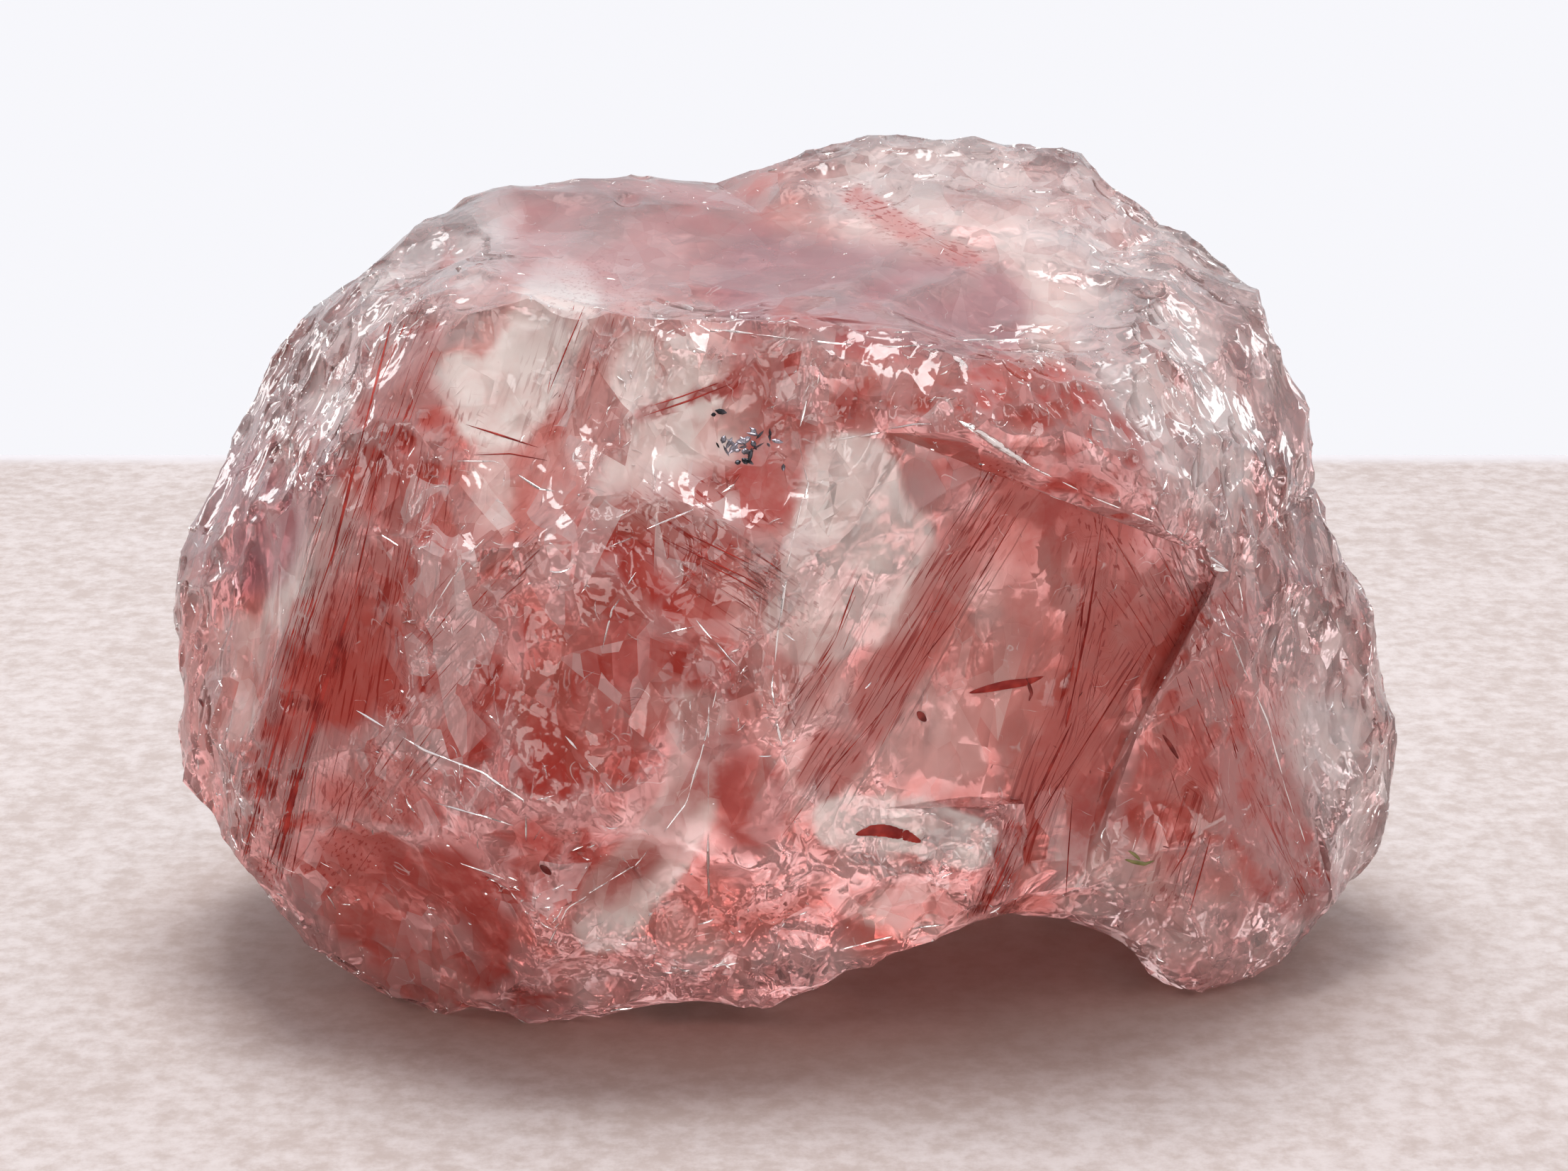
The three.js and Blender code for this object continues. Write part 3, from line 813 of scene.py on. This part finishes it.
def stone_material():
    material = bpy.data.materials.new("quartz")
    n = Nodes(material)
    deep, pink, cream, clear = (n.attribute(name) for name in ("deep", "pink", "cream", "clear"))
    streak, haze, ridge, mauve = (n.attribute(name) for name in ("streak", "haze", "ridge", "mauve"))
    scar_tone, shattered = n.attribute("tone"), n.attribute("shattered")
    here = n.place()
    shards = n.place((20, 35, 10), (1.5, 1.0, 0.75))
    tone = n.plus(n.times(n.cell_tone(shards, 3.4), 0.50), n.times(n.cell_tone(shards, 1.2), 0.35))
    tone = n.plus(tone, n.times(scar_tone, 0.15))
    wisps = n.noise(here, 1.3, 3.0, 0.6)
    fine = n.noise(here, 0.35, 1.0, 0.5)

    # Fine parallel threads that run along the needle bundles, and hairline cracks elsewhere.
    grain = n.add("Attribute", attribute_name="grain").outputs["Vector"]
    threads = n.range(n.noise(grain, 0.14 / MM, 2.0, 0.5), 0.56, 0.64)
    crack_field = n.math("ABSOLUTE", n.minus(n.noise(here, 2.4, 2.0, 0.5, 0.4), 0.5))
    cracks = n.times(n.range(crack_field, 0.0, 0.006, 1.0, 0.0), n.range(wisps, 0.54, 0.62))

    # Zones that only half cover a place follow the patches of the broken surface.
    step = n.times(n.minus(tone, 0.5), 0.55)
    red = n.plus(deep, n.times(step, n.range(deep, 0.05, 0.35)))
    red = n.range(red, 0.10, 0.95)
    cloudy = n.times(red, n.range(wisps, 0.30, 0.60, 0.70, 1.0))
    lined = n.times(red, n.range(threads, 0, 1, 0.70, 1.0))
    red = n.blend(streak, cloudy, lined)
    rosy = n.range(n.plus(pink, step), 0.05, 0.95)
    milky = n.plus(cream, n.times(step, n.range(cream, 0.05, 0.35)))
    milky = n.range(milky, 0.10, 0.85)

    # Each zone's colour is laid over the last, most of them thicker in some wisps than in others.
    # Random facet tones in the shattered zones: the palest facets are painted near white as painted
    # glints, and the darkest dark red as painted shade.
    bright = n.times(n.range(tone, 0.60, 0.78), n.times(shattered, 0.42))
    dark = n.times(n.range(tone, 0.38, 0.24), n.times(shattered, 0.55))
    colour = PALE
    for share, tint in (
        (n.times(rosy, n.range(wisps, 0.25, 0.62, 0.78, 1.0)), PINK),
        (n.times(milky, n.range(wisps, 0.25, 0.60, 0.7, 1.0)), CREAM),
        (n.times(mauve, 0.85), MAUVE),
        (n.times(clear, 0.85), WATER),
        (red, DEEP),
        (n.times(threads, streak, 0.6), THREAD),
        # Crests painted paler, towards clear white: a painted edge highlight.
        (n.times(ridge, 0.22), WATER),
        (bright, WHITE),
        (dark, SHADE),
        (n.times(cracks, 0.40), WHITE),
    ):
        colour = n.mix(share, colour, tint)
    n.surface("Base Color", colour)

    # How much light goes through instead of being scattered at the surface.
    see = n.minus(
        n.blend(clear, 0.54, 0.72),
        n.plus(n.times(milky, 0.22), n.times(red, 0.40)),
        n.times(haze, 0.12),
        n.times(red, streak, 0.15),
    )
    see = n.math("ADD", n.plus(see, n.times(bright, 0.40)), n.times(ridge, 0.20), clamp=True)
    n.surface("Transmission Weight", see)
    n.surface("Roughness", n.range(wisps, 0.3, 0.7, 0.03, 0.12))
    n.surface("IOR", QUARTZ_IOR)

    # The surface leans from cell to cell like broken glass, with the faint rings of shell-shaped breaks.
    broken = n.math("MAXIMUM", shattered, n.times(clear, 0.8))
    facets, reach = n.tilted_cells(shards, 2.2, n.blend(broken, 0.10, 0.55))
    rings = n.math("SINE", n.times(reach, 24.0))
    rings = n.times(rings, n.blend(broken, 0.0005 * MM, 0.009 * MM))
    grit = n.times(fine, n.blend(broken, 0.004 * MM, 0.020 * MM))
    bump = n.add("Bump")
    n.put(bump.inputs["Height"], n.plus(facets, n.plus(rings, grit)))
    bump.inputs["Distance"].default_value = 1.0
    bump.inputs["Strength"].default_value = 1.0
    n.surface("Normal", bump.outputs["Normal"])

    absorb = n.add("VolumeAbsorption")
    n.put(absorb.inputs["Color"], INNER_TINT)
    absorb.inputs["Density"].default_value = INNER_DENSITY
    n.put(n.output.inputs["Volume"], absorb.outputs["Volume"])
    return material


def step_material():
    """Bright thin steps, which mirror the light like the inner side of a crack."""
    material = bpy.data.materials.new("step")
    n = Nodes(material)
    n.surface("Base Color", n.mix(n.noise(n.place(), 2.0, 2.0), WHITE, (1.0, 0.98, 0.98)))
    n.surface("Metallic", 0.9)
    n.surface("Roughness", 0.22)
    return material


def inclusion_material(name, tones, rough, metal=0.0):
    """Colour that changes from grain to grain, for needles, flakes and specks."""
    material = bpy.data.materials.new(name)
    n = Nodes(material)
    grains = n.range(n.noise(n.place(), 0.9, 2.0), 0.35, 0.65)
    n.surface("Base Color", n.mix(grains, *tones))
    n.surface("Roughness", rough)
    n.surface("Metallic", metal)
    n.surface("Specular IOR Level", 0.25)
    return material


# ---------------------------------------------------------------------------------------------
# Inclusions: needles, flakes and specks sealed a little under the surface
# ---------------------------------------------------------------------------------------------
INCLUSION_SEED = 23
# Needles by bundle: how many, across what half width in pixels, their lengths and depths in mm.
NEEDLES = {
    "left": (120, 34, (3.0, 12.0), (0.10, 1.2)),
    "left outer": (90, 16, (3.0, 9.0), (0.05, 0.5)),
    "left inner": (90, 16, (3.0, 9.0), (0.05, 0.5)),
    "left side": (60, 70, (2.0, 7.0), (0.2, 1.8)),
    "lower left": (36, 60, (2.0, 6.0), (0.2, 1.5)),
    "middle left": (24, 60, (1.5, 5.0), (0.2, 1.5)),
    "first": (60, 40, (3.0, 10.0), (0.10, 1.2)),
    "first left": (20, 16, (2.0, 5.0), (0.10, 0.8)),
    "second": (60, 30, (3.0, 10.0), (0.10, 1.2)),
    "third": (30, 16, (2.0, 7.0), (0.10, 1.0)),
    "bowl rim": (50, 14, (1.5, 6.0), (0.05, 0.6)),
    "bowl right": (60, 90, (1.5, 6.0), (0.2, 1.5)),
    "low stripes": (16, 40, (2.0, 5.0), (0.15, 0.8)),
    "needle face": (40, 70, (1.0, 4.0), (0.15, 1.0)),
    "window": (20, 60, (1.5, 5.0), (0.2, 1.0)),
    "top": (8, 14, (2.0, 5.0), (0.15, 0.8)),
}
NEEDLE_RADIUS = (0.014, 0.040)
# Needles laid bare by the breaks, as a share of each bundle's count, and their widths in mm.
BARE_SHARE = 0.7
BARE_WIDTH = (0.030, 0.090)
# How high each kind of ridge rises over the surface.
BARE_RISE = 0.008 * MM
LONG_RISE = 0.035 * MM
CRACK_RISE = 0.03 * MM
FLAKE_RISE = 0.04 * MM
SCALE_RISE = 0.05 * MM
# Darkest and lightest colours of each kind.
NEEDLE_TONES = (0.24, 0.010, 0.007), (0.52, 0.05, 0.035)
SPECK_TONES = (0.12, 0.012, 0.010), (0.34, 0.05, 0.04)
GREEN_TONES = (0.16, 0.17, 0.05), (0.32, 0.30, 0.12)
CLUSTER_TONES = (0.03, 0.03, 0.035), (0.34, 0.32, 0.37)
# Small steps and specks: how many, their lengths and widths in mm, and their height per width.
HACKLES = (4400, (0.09, 1.1), (0.028, 0.085), 0.6)
SPECKS = (800, (0.07, 0.55), (0.03, 0.10), 0.15)
HACKLE_BEND = 0.11
SPECK_BEND = 0.05
# Small pieces on the surface reach this far under it.
SUNK = 0.015 * MM
# Ridges wider than this follow the surface across their width too.
WIDE = 0.15 * MM
LONGEST_STEP = 0.9 * MM
SPECK_STROKES = {
    "bowl": (1.0, 170, 60, [(1400, 850), (1480, 1000), (1600, 1150)]),
    "needle face": (0.8, 70, 40, [(960, 720), (1080, 800)]),
    "window": (0.5, 60, 40, [(700, 480), (840, 480)]),
    "left": (0.4, 60, 40, [(440, 760), (400, 1000), (460, 1200)]),
    "lobe": (0.25, 60, 40, [(1850, 800), (1880, 1100)]),
    "top": (0.4, 60, 40, [(700, 330), (1100, 330), (1400, 330)]),
}
# Single long needles that the breaks lay bare: width in mm, and the places they pass.
LONG_NEEDLES = {
    "left top": (0.15, [(552, 455), (520, 580), (490, 700), (466, 800)]),
    "left outer": (0.14, [(500, 650), (470, 780), (435, 880), (400, 1010), (365, 1130), (342, 1212)]),
    "left band": (0.26, [(497, 850), (470, 930), (440, 1030), (412, 1130), (392, 1218)]),
    "left inner": (0.12, [(470, 900), (430, 1040), (400, 1160), (380, 1220)]),
    "left right": (0.1, [(540, 620), (520, 740), (500, 830), (470, 960)]),
    "first upper": (0.11, [(1420, 700), (1335, 830), (1261, 964)]),
    "first lower": (0.09, [(1440, 720), (1350, 870), (1240, 1010), (1165, 1095)]),
    "first side": (0.08, [(1210, 815), (1180, 900), (1150, 950)]),
    "second upper": (0.14, [(1552, 763), (1535, 880), (1504, 1027)]),
    "second crossing": (0.11, [(1625, 900), (1550, 1020), (1472, 1143), (1400, 1270)]),
    "second lower": (0.17, [(1514, 1017), (1450, 1150), (1388, 1291)]),
    "second foot": (0.08, [(1514, 1122), (1508, 1200), (1504, 1270)]),
    "low": (0.09, [(1710, 1175), (1695, 1230), (1678, 1291)]),
    "low beside": (0.07, [(1690, 1160), (1672, 1205), (1650, 1240)]),
    "face": (0.09, [(930, 757), (1010, 795), (1095, 835)]),
    "face above": (0.07, [(960, 748), (1010, 772), (1068, 800)]),
    "face below": (0.07, [(985, 790), (1030, 812), (1084, 842)]),
    "window": (0.09, [(828, 425), (800, 490), (772, 560)]),
    "corner": (0.12, [(905, 588), (970, 566), (1036, 540)]),
    "corner beside": (0.07, [(915, 574), (960, 560), (1015, 540)]),
    "under the window": (0.12, [(655, 598), (700, 612), (762, 632)]),
    "under the window too": (0.09, [(665, 642), (720, 640), (775, 650)]),
}
# Single flakes: width in mm, and the places they pass.
LEAVES = {
    "blade": (0.46, [(1366, 978), (1392, 972), (1420, 966), (1450, 962), (1474, 954)]),
    "leaf": (0.62, [(1206, 1178), (1228, 1172), (1252, 1172), (1278, 1178), (1304, 1190)]),
}
RED_FLAKES = {
    "blade tip": (0.22, [(1452, 990), (1456, 978), (1452, 966), (1448, 956)]),
    "bowl spot": (0.38, [(1294, 1004), (1300, 1010), (1308, 1018)]),
    "left dot": (0.36, [(762, 1220), (770, 1227), (778, 1235)]),
    "left edge dot": (0.24, [(280, 986), (284, 991), (287, 997)]),
    "bowl shard": (0.22, [(1640, 1035), (1652, 1052), (1664, 1072)]),
}
GREEN_FLAKES = {
    "long": (0.22, [(1586, 1212), (1600, 1216), (1616, 1219), (1630, 1214)]),
    "short": (0.18, [(1592, 1200), (1602, 1206), (1610, 1214)]),
}
WHITE_FLAKES = {
    "shelf blade": (0.34, [(1350, 592), (1385, 612), (1420, 636), (1458, 660)]),
    "shelf tip": (0.34, [(1690, 788), (1712, 799), (1735, 806)]),
}
# The dark shiny cluster: how many scales, its middle and spread in pixels, and the half lengths in
# pixels and widths in mm of its scales.
CLUSTER = (34, (1056, 626), (20, 15), (4, 13), (0.10, 0.30))


def surface_at(tree, place):
    """The front surface point that the camera sees at a place in the frame, or None."""
    return tree.ray_cast(Vector(EYE), Vector(ray_to(*place)))[0]


def spindle(start, end, radius, flat, rng):
    """Closed four-sided needle between two points, thickest near its middle."""
    axis = end - start
    turn = turned_to(axis / np.linalg.norm(axis), rng.uniform(0, 6.3))
    square = np.array([[1, 0, 0], [0, flat, 0], [-1, 0, 0], [0, -flat, 0]]) @ turn.T * radius
    shape = ((0.08, 0.7), (0.35, 1.0), (0.65, 0.9), (0.92, 0.6))
    rings = [start + axis * k + square * r for k, r in shape]
    return closed(start, rings, end)


def ridge_along(tree, line, normals, width, rise):
    """Closed low ridge along points on the surface, pointed at both ends and widest midway."""
    run = np.gradient(line, axis=0)
    side = np.cross(normals, run)
    side /= np.maximum(np.linalg.norm(side, axis=1, keepdims=True), 1e-12)
    rings = []
    for k in range(1, len(line) - 1):
        swell = math.sin(math.pi * k / (len(line) - 1)) ** 0.7
        half = side[k] * width * swell / 2
        if width < WIDE:
            foot = line[k] - normals[k] * SUNK
            rings.append(np.array([foot + half, line[k] + normals[k] * rise * swell, foot - half]))
            continue
        ring = []
        for x in (1, 0.5, 0, -0.5, -1):
            spot, normal = tree.find_nearest(Vector(line[k] + half * x))[:2]
            ring.append(np.array(spot) + np.array(normal) * (rise * (1 - x * x) - SUNK * abs(x)))
        ring.append(line[k] - normals[k] * 5 * SUNK)
        rings.append(np.array(ring))
    return closed(line[0] - normals[0] * SUNK, rings, line[-1] - normals[-1] * SUNK)


def joined(name, parts, material):
    points, faces, count = [], [], 0
    for p, f in parts:
        points.append(p)
        faces.append(f + count)
        count += len(p)
    obj = new_object(name, np.concatenate(points), np.concatenate(faces))
    obj.data.materials.append(material)
    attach(obj, "root")


def split_hits(hits):
    """The places and the normals of hits on the surface, as arrays."""
    return np.array([list(h[0]) for h in hits]), np.array([list(h[1]) for h in hits])


def on_surface(tree, places):
    """The longest stretch of places in the frame that follows the surface without a jump, as points
    and normals."""
    best, run = [], []
    for place in places:
        hit = tree.ray_cast(Vector(EYE), Vector(ray_to(*place)))
        if hit[0] is None or (run and (hit[0] - run[-1][0]).length > LONGEST_STEP):
            run = []
        if hit[0] is not None:
            run.append(hit)
        if len(run) > len(best):
            best = list(run)
    return split_hits(best)


def bundle_line(places, half, lengths, rng):
    """Middle, direction and half length in pixels of one needle of a bundle."""
    k = rng.uniform(0, len(places) - 1.001)
    i = int(k)
    middle = places[i] + (places[i + 1] - places[i]) * (k - i)
    d = places[i + 1] - places[i]
    d /= np.linalg.norm(d)
    middle = middle + np.array([d[1], -d[0]]) * rng.normal(0, half * 0.5)
    lean = rng.normal(0, 0.05)
    leaning = np.array([d[0] - d[1] * lean, d[1] + d[0] * lean])
    return middle, leaning, rng.uniform(*lengths) * 0.5 / PIXEL


def add_needles(tree, rng):
    """Needles sealed under the surface, and ones that the broken surface lays bare."""
    parts = []
    for name, (count, half, lengths, depths) in NEEDLES.items():
        places = np.array(BUNDLES[name][3], float)
        for _ in range(count):
            middle, d, reach = bundle_line(places, half, lengths, rng)
            spots = [surface_at(tree, middle + d * reach * e) for e in (-1, -0.5, 0, 0.5, 1)]
            if any(s is None for s in spots):
                continue
            spots = np.array([list(s) for s in spots])
            if np.ptp(spots @ AHEAD) > 1.8 * reach * PIXEL * MM:
                continue
            start, end = spots[0], spots[-1]
            line = start + (end - start) * np.array([0, 0.25, 0.5, 0.75, 1.0])[:, None]
            shift = AHEAD * (max(0, ((spots - line) @ AHEAD).max()) + rng.uniform(*depths) * MM)
            radius = rng.uniform(*NEEDLE_RADIUS) * MM
            parts.append(spindle(start + shift, end + shift, radius, rng.uniform(0.3, 1.0), rng))
        for _ in range(int(count * BARE_SHARE)):
            middle, d, reach = bundle_line(places, half, lengths, rng)
            reach *= rng.uniform(0.2, 0.8)
            line, normals = on_surface(tree, [middle + d * reach * e for e in np.linspace(-1, 1, 9)])
            if len(line) >= 4:
                width = rng.uniform(*BARE_WIDTH) * MM
                parts.append(ridge_along(tree, line, normals, width, BARE_RISE))
    for width, places in LONG_NEEDLES.values():
        parts += strand(tree, places, width, rng)
    parts += flakes(tree, LEAVES)
    joined("red_needles", parts, inclusion_material("needle", NEEDLE_TONES, 0.5))


def marked(places):
    """Places as an array, and how far along the line through them each one is, in pixels."""
    places = np.array(places, float)
    steps = np.linalg.norm(np.diff(places, axis=0), axis=1)
    return places, np.concatenate([[0], np.cumsum(steps)])


def between(places, at, marks):
    """Places in the frame where a line that reaches its places at given marks is at other marks."""
    return np.stack([np.interp(marks, at, places[:, c]) for c in (0, 1)], axis=1)


def strand(tree, places, width, rng):
    """One thin ridge through the places, in stretches where the surface is broken by a step."""
    places, at = marked(places)
    parts = []
    begin = 0.0
    while begin < at[-1] - 15:
        reach = rng.uniform(90, 260)
        marks = np.linspace(begin, min(begin + reach, at[-1]), 4 + int(reach / 6))
        line, normals = on_surface(tree, between(places, at, marks))
        if len(line) >= 4:
            wide = width * rng.uniform(0.8, 1.2) * MM
            parts.append(ridge_along(tree, line, normals, wide, LONG_RISE))
        begin += reach * 0.9
    return parts


def crack(tree, places, width, rng):
    """A broken line of thin steps through the places."""
    places, at = marked(places)
    parts = []
    begin = 0.0
    while begin < at[-1]:
        reach = rng.uniform(25, 90)
        marks = np.linspace(begin, min(begin + reach, at[-1]), 3 + int(reach / 10))
        line, normals = on_surface(tree, between(places, at, marks) + rng.normal(0, 1.5, 2))
        if len(line) >= 4:
            wide = width * rng.uniform(0.6, 1.3) * MM
            parts.append(ridge_along(tree, line, normals, wide, CRACK_RISE))
        begin += reach * rng.uniform(0.7, 1.5)
    return parts


def flakes(tree, table):
    parts = []
    for width, places in table.values():
        marks = np.linspace(0, len(places) - 1, 4 * len(places))
        spots = between(np.array(places, float), range(len(places)), marks)
        line, normals = on_surface(tree, spots)
        if len(line) >= 3:
            parts.append(ridge_along(tree, line, normals, width * MM, FLAKE_RISE))
    return parts


def scattered(tree, v, t, kind, weight, bend, rng):
    """Short curved ridges on the surface, lying roughly parallel where they are near each other."""
    count, lengths, widths, rise = kind
    n = vertex_normals(v, t)
    chosen = rng.choice(len(v), count, p=weight / weight.sum())
    parts = []
    for i, swirl in zip(chosen, clouds(v[chosen], 5.0, 2, 7)):
        across, up, _ = turned_to(n[i], 12.0 * swirl + rng.normal(0, 0.5)).T
        length = lengths[0] * (lengths[1] / lengths[0]) ** (rng.random() ** 2.0) * MM
        bow = rng.normal(0, bend) * length
        k = np.linspace(-0.5, 0.5, 3 + int(length / (0.18 * MM)))
        line = v[i] + across * (k * length)[:, None] + up * (bow * (1 - 4 * k**2))[:, None]
        if not np.isfinite(line).all():
            continue
        line, normals = split_hits([tree.find_nearest(Vector(p)) for p in line])
        if np.linalg.norm(np.diff(line, axis=0), axis=1).max() > 2.2 * length / len(k):
            continue
        width = min(rng.uniform(*widths) * MM, 0.4 * length)
        parts.append(ridge_along(tree, line, normals, width, rise * width))
    return parts


def add_hackles(tree, v, t, rng):
    """Thin raised steps that the breaks left, bright where they catch the light."""
    front = facing(vertex_normals(v, t))
    weight = 0.25 + front * painted(to_frame(v), SHATTERED_STROKES) + 0.3 * (1 - front)
    parts = scattered(tree, v, t, HACKLES, weight, HACKLE_BEND, rng)
    for width, places in CRACKS.values():
        parts += crack(tree, places, width, rng)
    parts += flakes(tree, WHITE_FLAKES)
    joined("bright_steps", parts, step_material())


def add_specks(tree, v, t, rng):
    front = facing(vertex_normals(v, t))
    weight = 0.05 + front * painted(to_frame(v), SPECK_STROKES) + 0.3 * (1 - front)
    parts = scattered(tree, v, t, SPECKS, weight, SPECK_BEND, rng)
    parts += flakes(tree, RED_FLAKES)
    joined("dark_specks", parts, inclusion_material("speck", SPECK_TONES, 0.4))
    green = inclusion_material("green flake", GREEN_TONES, 0.25)
    joined("green_flakes", flakes(tree, GREEN_FLAKES), green)


def add_cluster(tree, rng):
    count, middle, spread, lengths, widths = CLUSTER
    parts = []
    for _ in range(count):
        spot = rng.normal(middle, spread)
        angle = rng.uniform(0, math.pi)
        reach = rng.uniform(*lengths) * np.array([math.cos(angle), math.sin(angle)])
        line, normals = on_surface(tree, [spot + reach * e for e in (-1, -0.3, 0.3, 1)])
        if len(line) == 4:
            width = rng.uniform(*widths) * MM
            parts.append(ridge_along(tree, line, normals, width, SCALE_RISE))
    joined("dark_cluster", parts, inclusion_material("cluster", CLUSTER_TONES, 0.25, 0.8))


# ---------------------------------------------------------------------------------------------
# Studio
# ---------------------------------------------------------------------------------------------
FLOOR_SIDE = 450 * MM
FLOOR_FRONT = -400 * MM
FLOOR_BACK = 79 * MM
FLOOR_TONES = (0.60, 0.515, 0.48), (0.78, 0.72, 0.705)
# Under the stone, this far out, the floor is painted darker and redder than its tones, a painted shadow
# tinted like red light through the stone, and it is paler along its back edge.
FLOOR_SHADOW_PAINT, SHADOW_PAINT_SIDE, SHADOW_PAINT_DEPTH = (0.52, 0.33, 0.26), 30 * MM, 20 * MM
FLOOR_PALE, PALE_DEPTH = (0.86, 0.85, 0.88), 3.0 * MM
BACKDROP = (0.93, 0.93, 0.97)
# Light that comes from low down, and the direction that the brightest light comes from.
LOW_LIGHT = (1.0, 0.55, 0.48)
BRIGHTEST = (0.14, 0.65, 0.75)
# Strength of the world where it is seen through the stone.
THROUGH_STONE = 2.6
# Soft boxes: place, width and height in mm, power, and what else differs from a white light.
LIGHTS = {
    "key": ((-20, 40, 280), (130, 110), 0.46, {}),
    "front": ((60, -290, 62), (160, 90), 0.18, {"colour": (1.0, 0.91, 0.88)}),
    "left strip": ((-230, -130, 130), (26, 150), 0.05, {"lights": False}),
    "right strip": ((240, -90, 120), (30, 150), 0.07, {"lights": False}),
    "front left panel": ((-190, -210, 70), (70, 150), 0.066, {"lights": False}),
    "front right panel": ((190, -210, 70), (70, 150), 0.066, {"lights": False}),
    "front high panel": ((0, -190, 200), (220, 80), 0.11, {"lights": False}),
    "back left strip": ((-190, 170, 90), (40, 120), 0.07, {"lights": False}),
    "back right strip": ((190, 170, 90), (40, 120), 0.07, {"lights": False}),
}
LIGHT_AIM = (0, 0, 12)


def add_floor():
    corners = [(-FLOOR_SIDE, FLOOR_FRONT), (FLOOR_SIDE, FLOOR_FRONT), (FLOOR_SIDE, FLOOR_BACK)]
    corners.append((-FLOOR_SIDE, FLOOR_BACK))
    obj = new_object("floor", [(x, y, 0) for x, y in corners], [(0, 1, 2, 3)])
    material = bpy.data.materials.new("floor")
    n = Nodes(material)
    here = n.place()
    speckle = n.plus(n.noise(here, 1.2, 4.0, 0.7), n.times(n.noise(here, 9.0, 2.0), 0.3))
    tile = n.mix(n.range(speckle, 0.45, 0.85), *FLOOR_TONES)
    # Painted shadow: under the stone the floor is painted darker and redder, standing in for its shade
    # and the red light that comes through.
    away = n.vector_math("LENGTH", n.place(stretch=(1 / SHADOW_PAINT_SIDE, 1 / SHADOW_PAINT_DEPTH, 1)))["Value"]
    colour = n.mix(n.range(away, 0.55, 1.10, 0.65, 0.0), tile, FLOOR_SHADOW_PAINT)
    # It pales at its back edge, so that the line to the backdrop is soft.
    depth = n.add("SeparateXYZ")
    n.put(depth.inputs[0], here)
    edge = n.range(depth.outputs["Y"], FLOOR_BACK - PALE_DEPTH, FLOOR_BACK)
    n.surface("Base Color", n.mix(edge, colour, FLOOR_PALE))
    n.surface("Roughness", 0.7)
    obj.data.materials.append(material)


def add_light(name, place, size, power, colour=(1, 1, 1), lights=True):
    """A soft box aimed at the stone; one that doesn't light is only mirrored in what is glossy."""
    data = bpy.data.lights.new(name, "AREA")
    data.shape = "RECTANGLE"
    data.size, data.size_y = size[0] * MM, size[1] * MM
    data.energy = power
    data.color = colour
    obj = bpy.data.objects.new(name, data)
    bpy.context.scene.collection.objects.link(obj)
    obj.location = Vector(place) * MM
    obj.rotation_mode = "QUATERNION"
    obj.rotation_quaternion = (Vector(LIGHT_AIM) - Vector(place)).to_track_quat("-Z", "Y")
    obj.visible_diffuse = lights
    obj.visible_transmission = lights
    obj.visible_camera = False


def add_studio():
    add_floor()
    for name, (place, size, power, other) in LIGHTS.items():
        add_light(name, place, size, power, **other)
    add_world()
    bpy.context.scene.view_settings.view_transform = "Standard"


def add_world():
    """White studio: bright above and behind the stone, dim and warm low down on the camera's side."""
    world = bpy.data.worlds.new("studio")
    bpy.context.scene.world = world
    n = Nodes(world)
    lit, output = n.tree.nodes["Background"], n.tree.nodes["World Output"]

    direction = n.add("TexCoord").outputs["Generated"]
    bright = n.range(n.vector_math("DOT_PRODUCT", direction, BRIGHTEST)["Value"], -0.25, 0.55)
    path = n.add("LightPath").outputs
    through = n.times(path["Is Transmission Ray"], n.math("LESS_THAN", path["Diffuse Depth"], 0.5))
    n.put(lit.inputs["Strength"], n.blend(through, n.plus(n.times(bright, 0.75), 0.04), THROUGH_STONE))
    neutral = n.math("MAXIMUM", n.times(bright, bright), through)
    n.put(lit.inputs["Color"], n.mix(neutral, LOW_LIGHT, BACKDROP))

    seen = n.add("Background")
    n.put(seen.inputs["Color"], BACKDROP)
    choose = n.add("MixShader")
    for socket, value in zip(choose.inputs, (path["Is Camera Ray"], lit.outputs[0], seen.outputs[0])):
        n.put(socket, value)
    n.put(output.inputs["Surface"], choose.outputs[0])


def set_light_paths():
    """Enough bounces for the light to come through the stone."""
    cycles = bpy.context.scene.cycles
    cycles.max_bounces = 6
    cycles.diffuse_bounces = 1
    cycles.glossy_bounces = 2
    cycles.transmission_bounces = 5


add_camera()
add_studio()
set_light_paths()
stone = build_stone()
paint_zones(stone)
stone_v, stone_t = arrays(stone.data)
stone_tree = BVHTree.FromPolygons(stone_v.tolist(), stone_t.tolist())
add_needles(stone_tree, np.random.default_rng(INCLUSION_SEED))
add_hackles(stone_tree, stone_v, stone_t, np.random.default_rng(INCLUSION_SEED + 1))
add_specks(stone_tree, stone_v, stone_t, np.random.default_rng(INCLUSION_SEED + 2))
add_cluster(stone_tree, np.random.default_rng(INCLUSION_SEED + 3))
stone.data.materials.clear()
stone.data.materials.append(stone_material())
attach(stone, "root")
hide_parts("quartz")
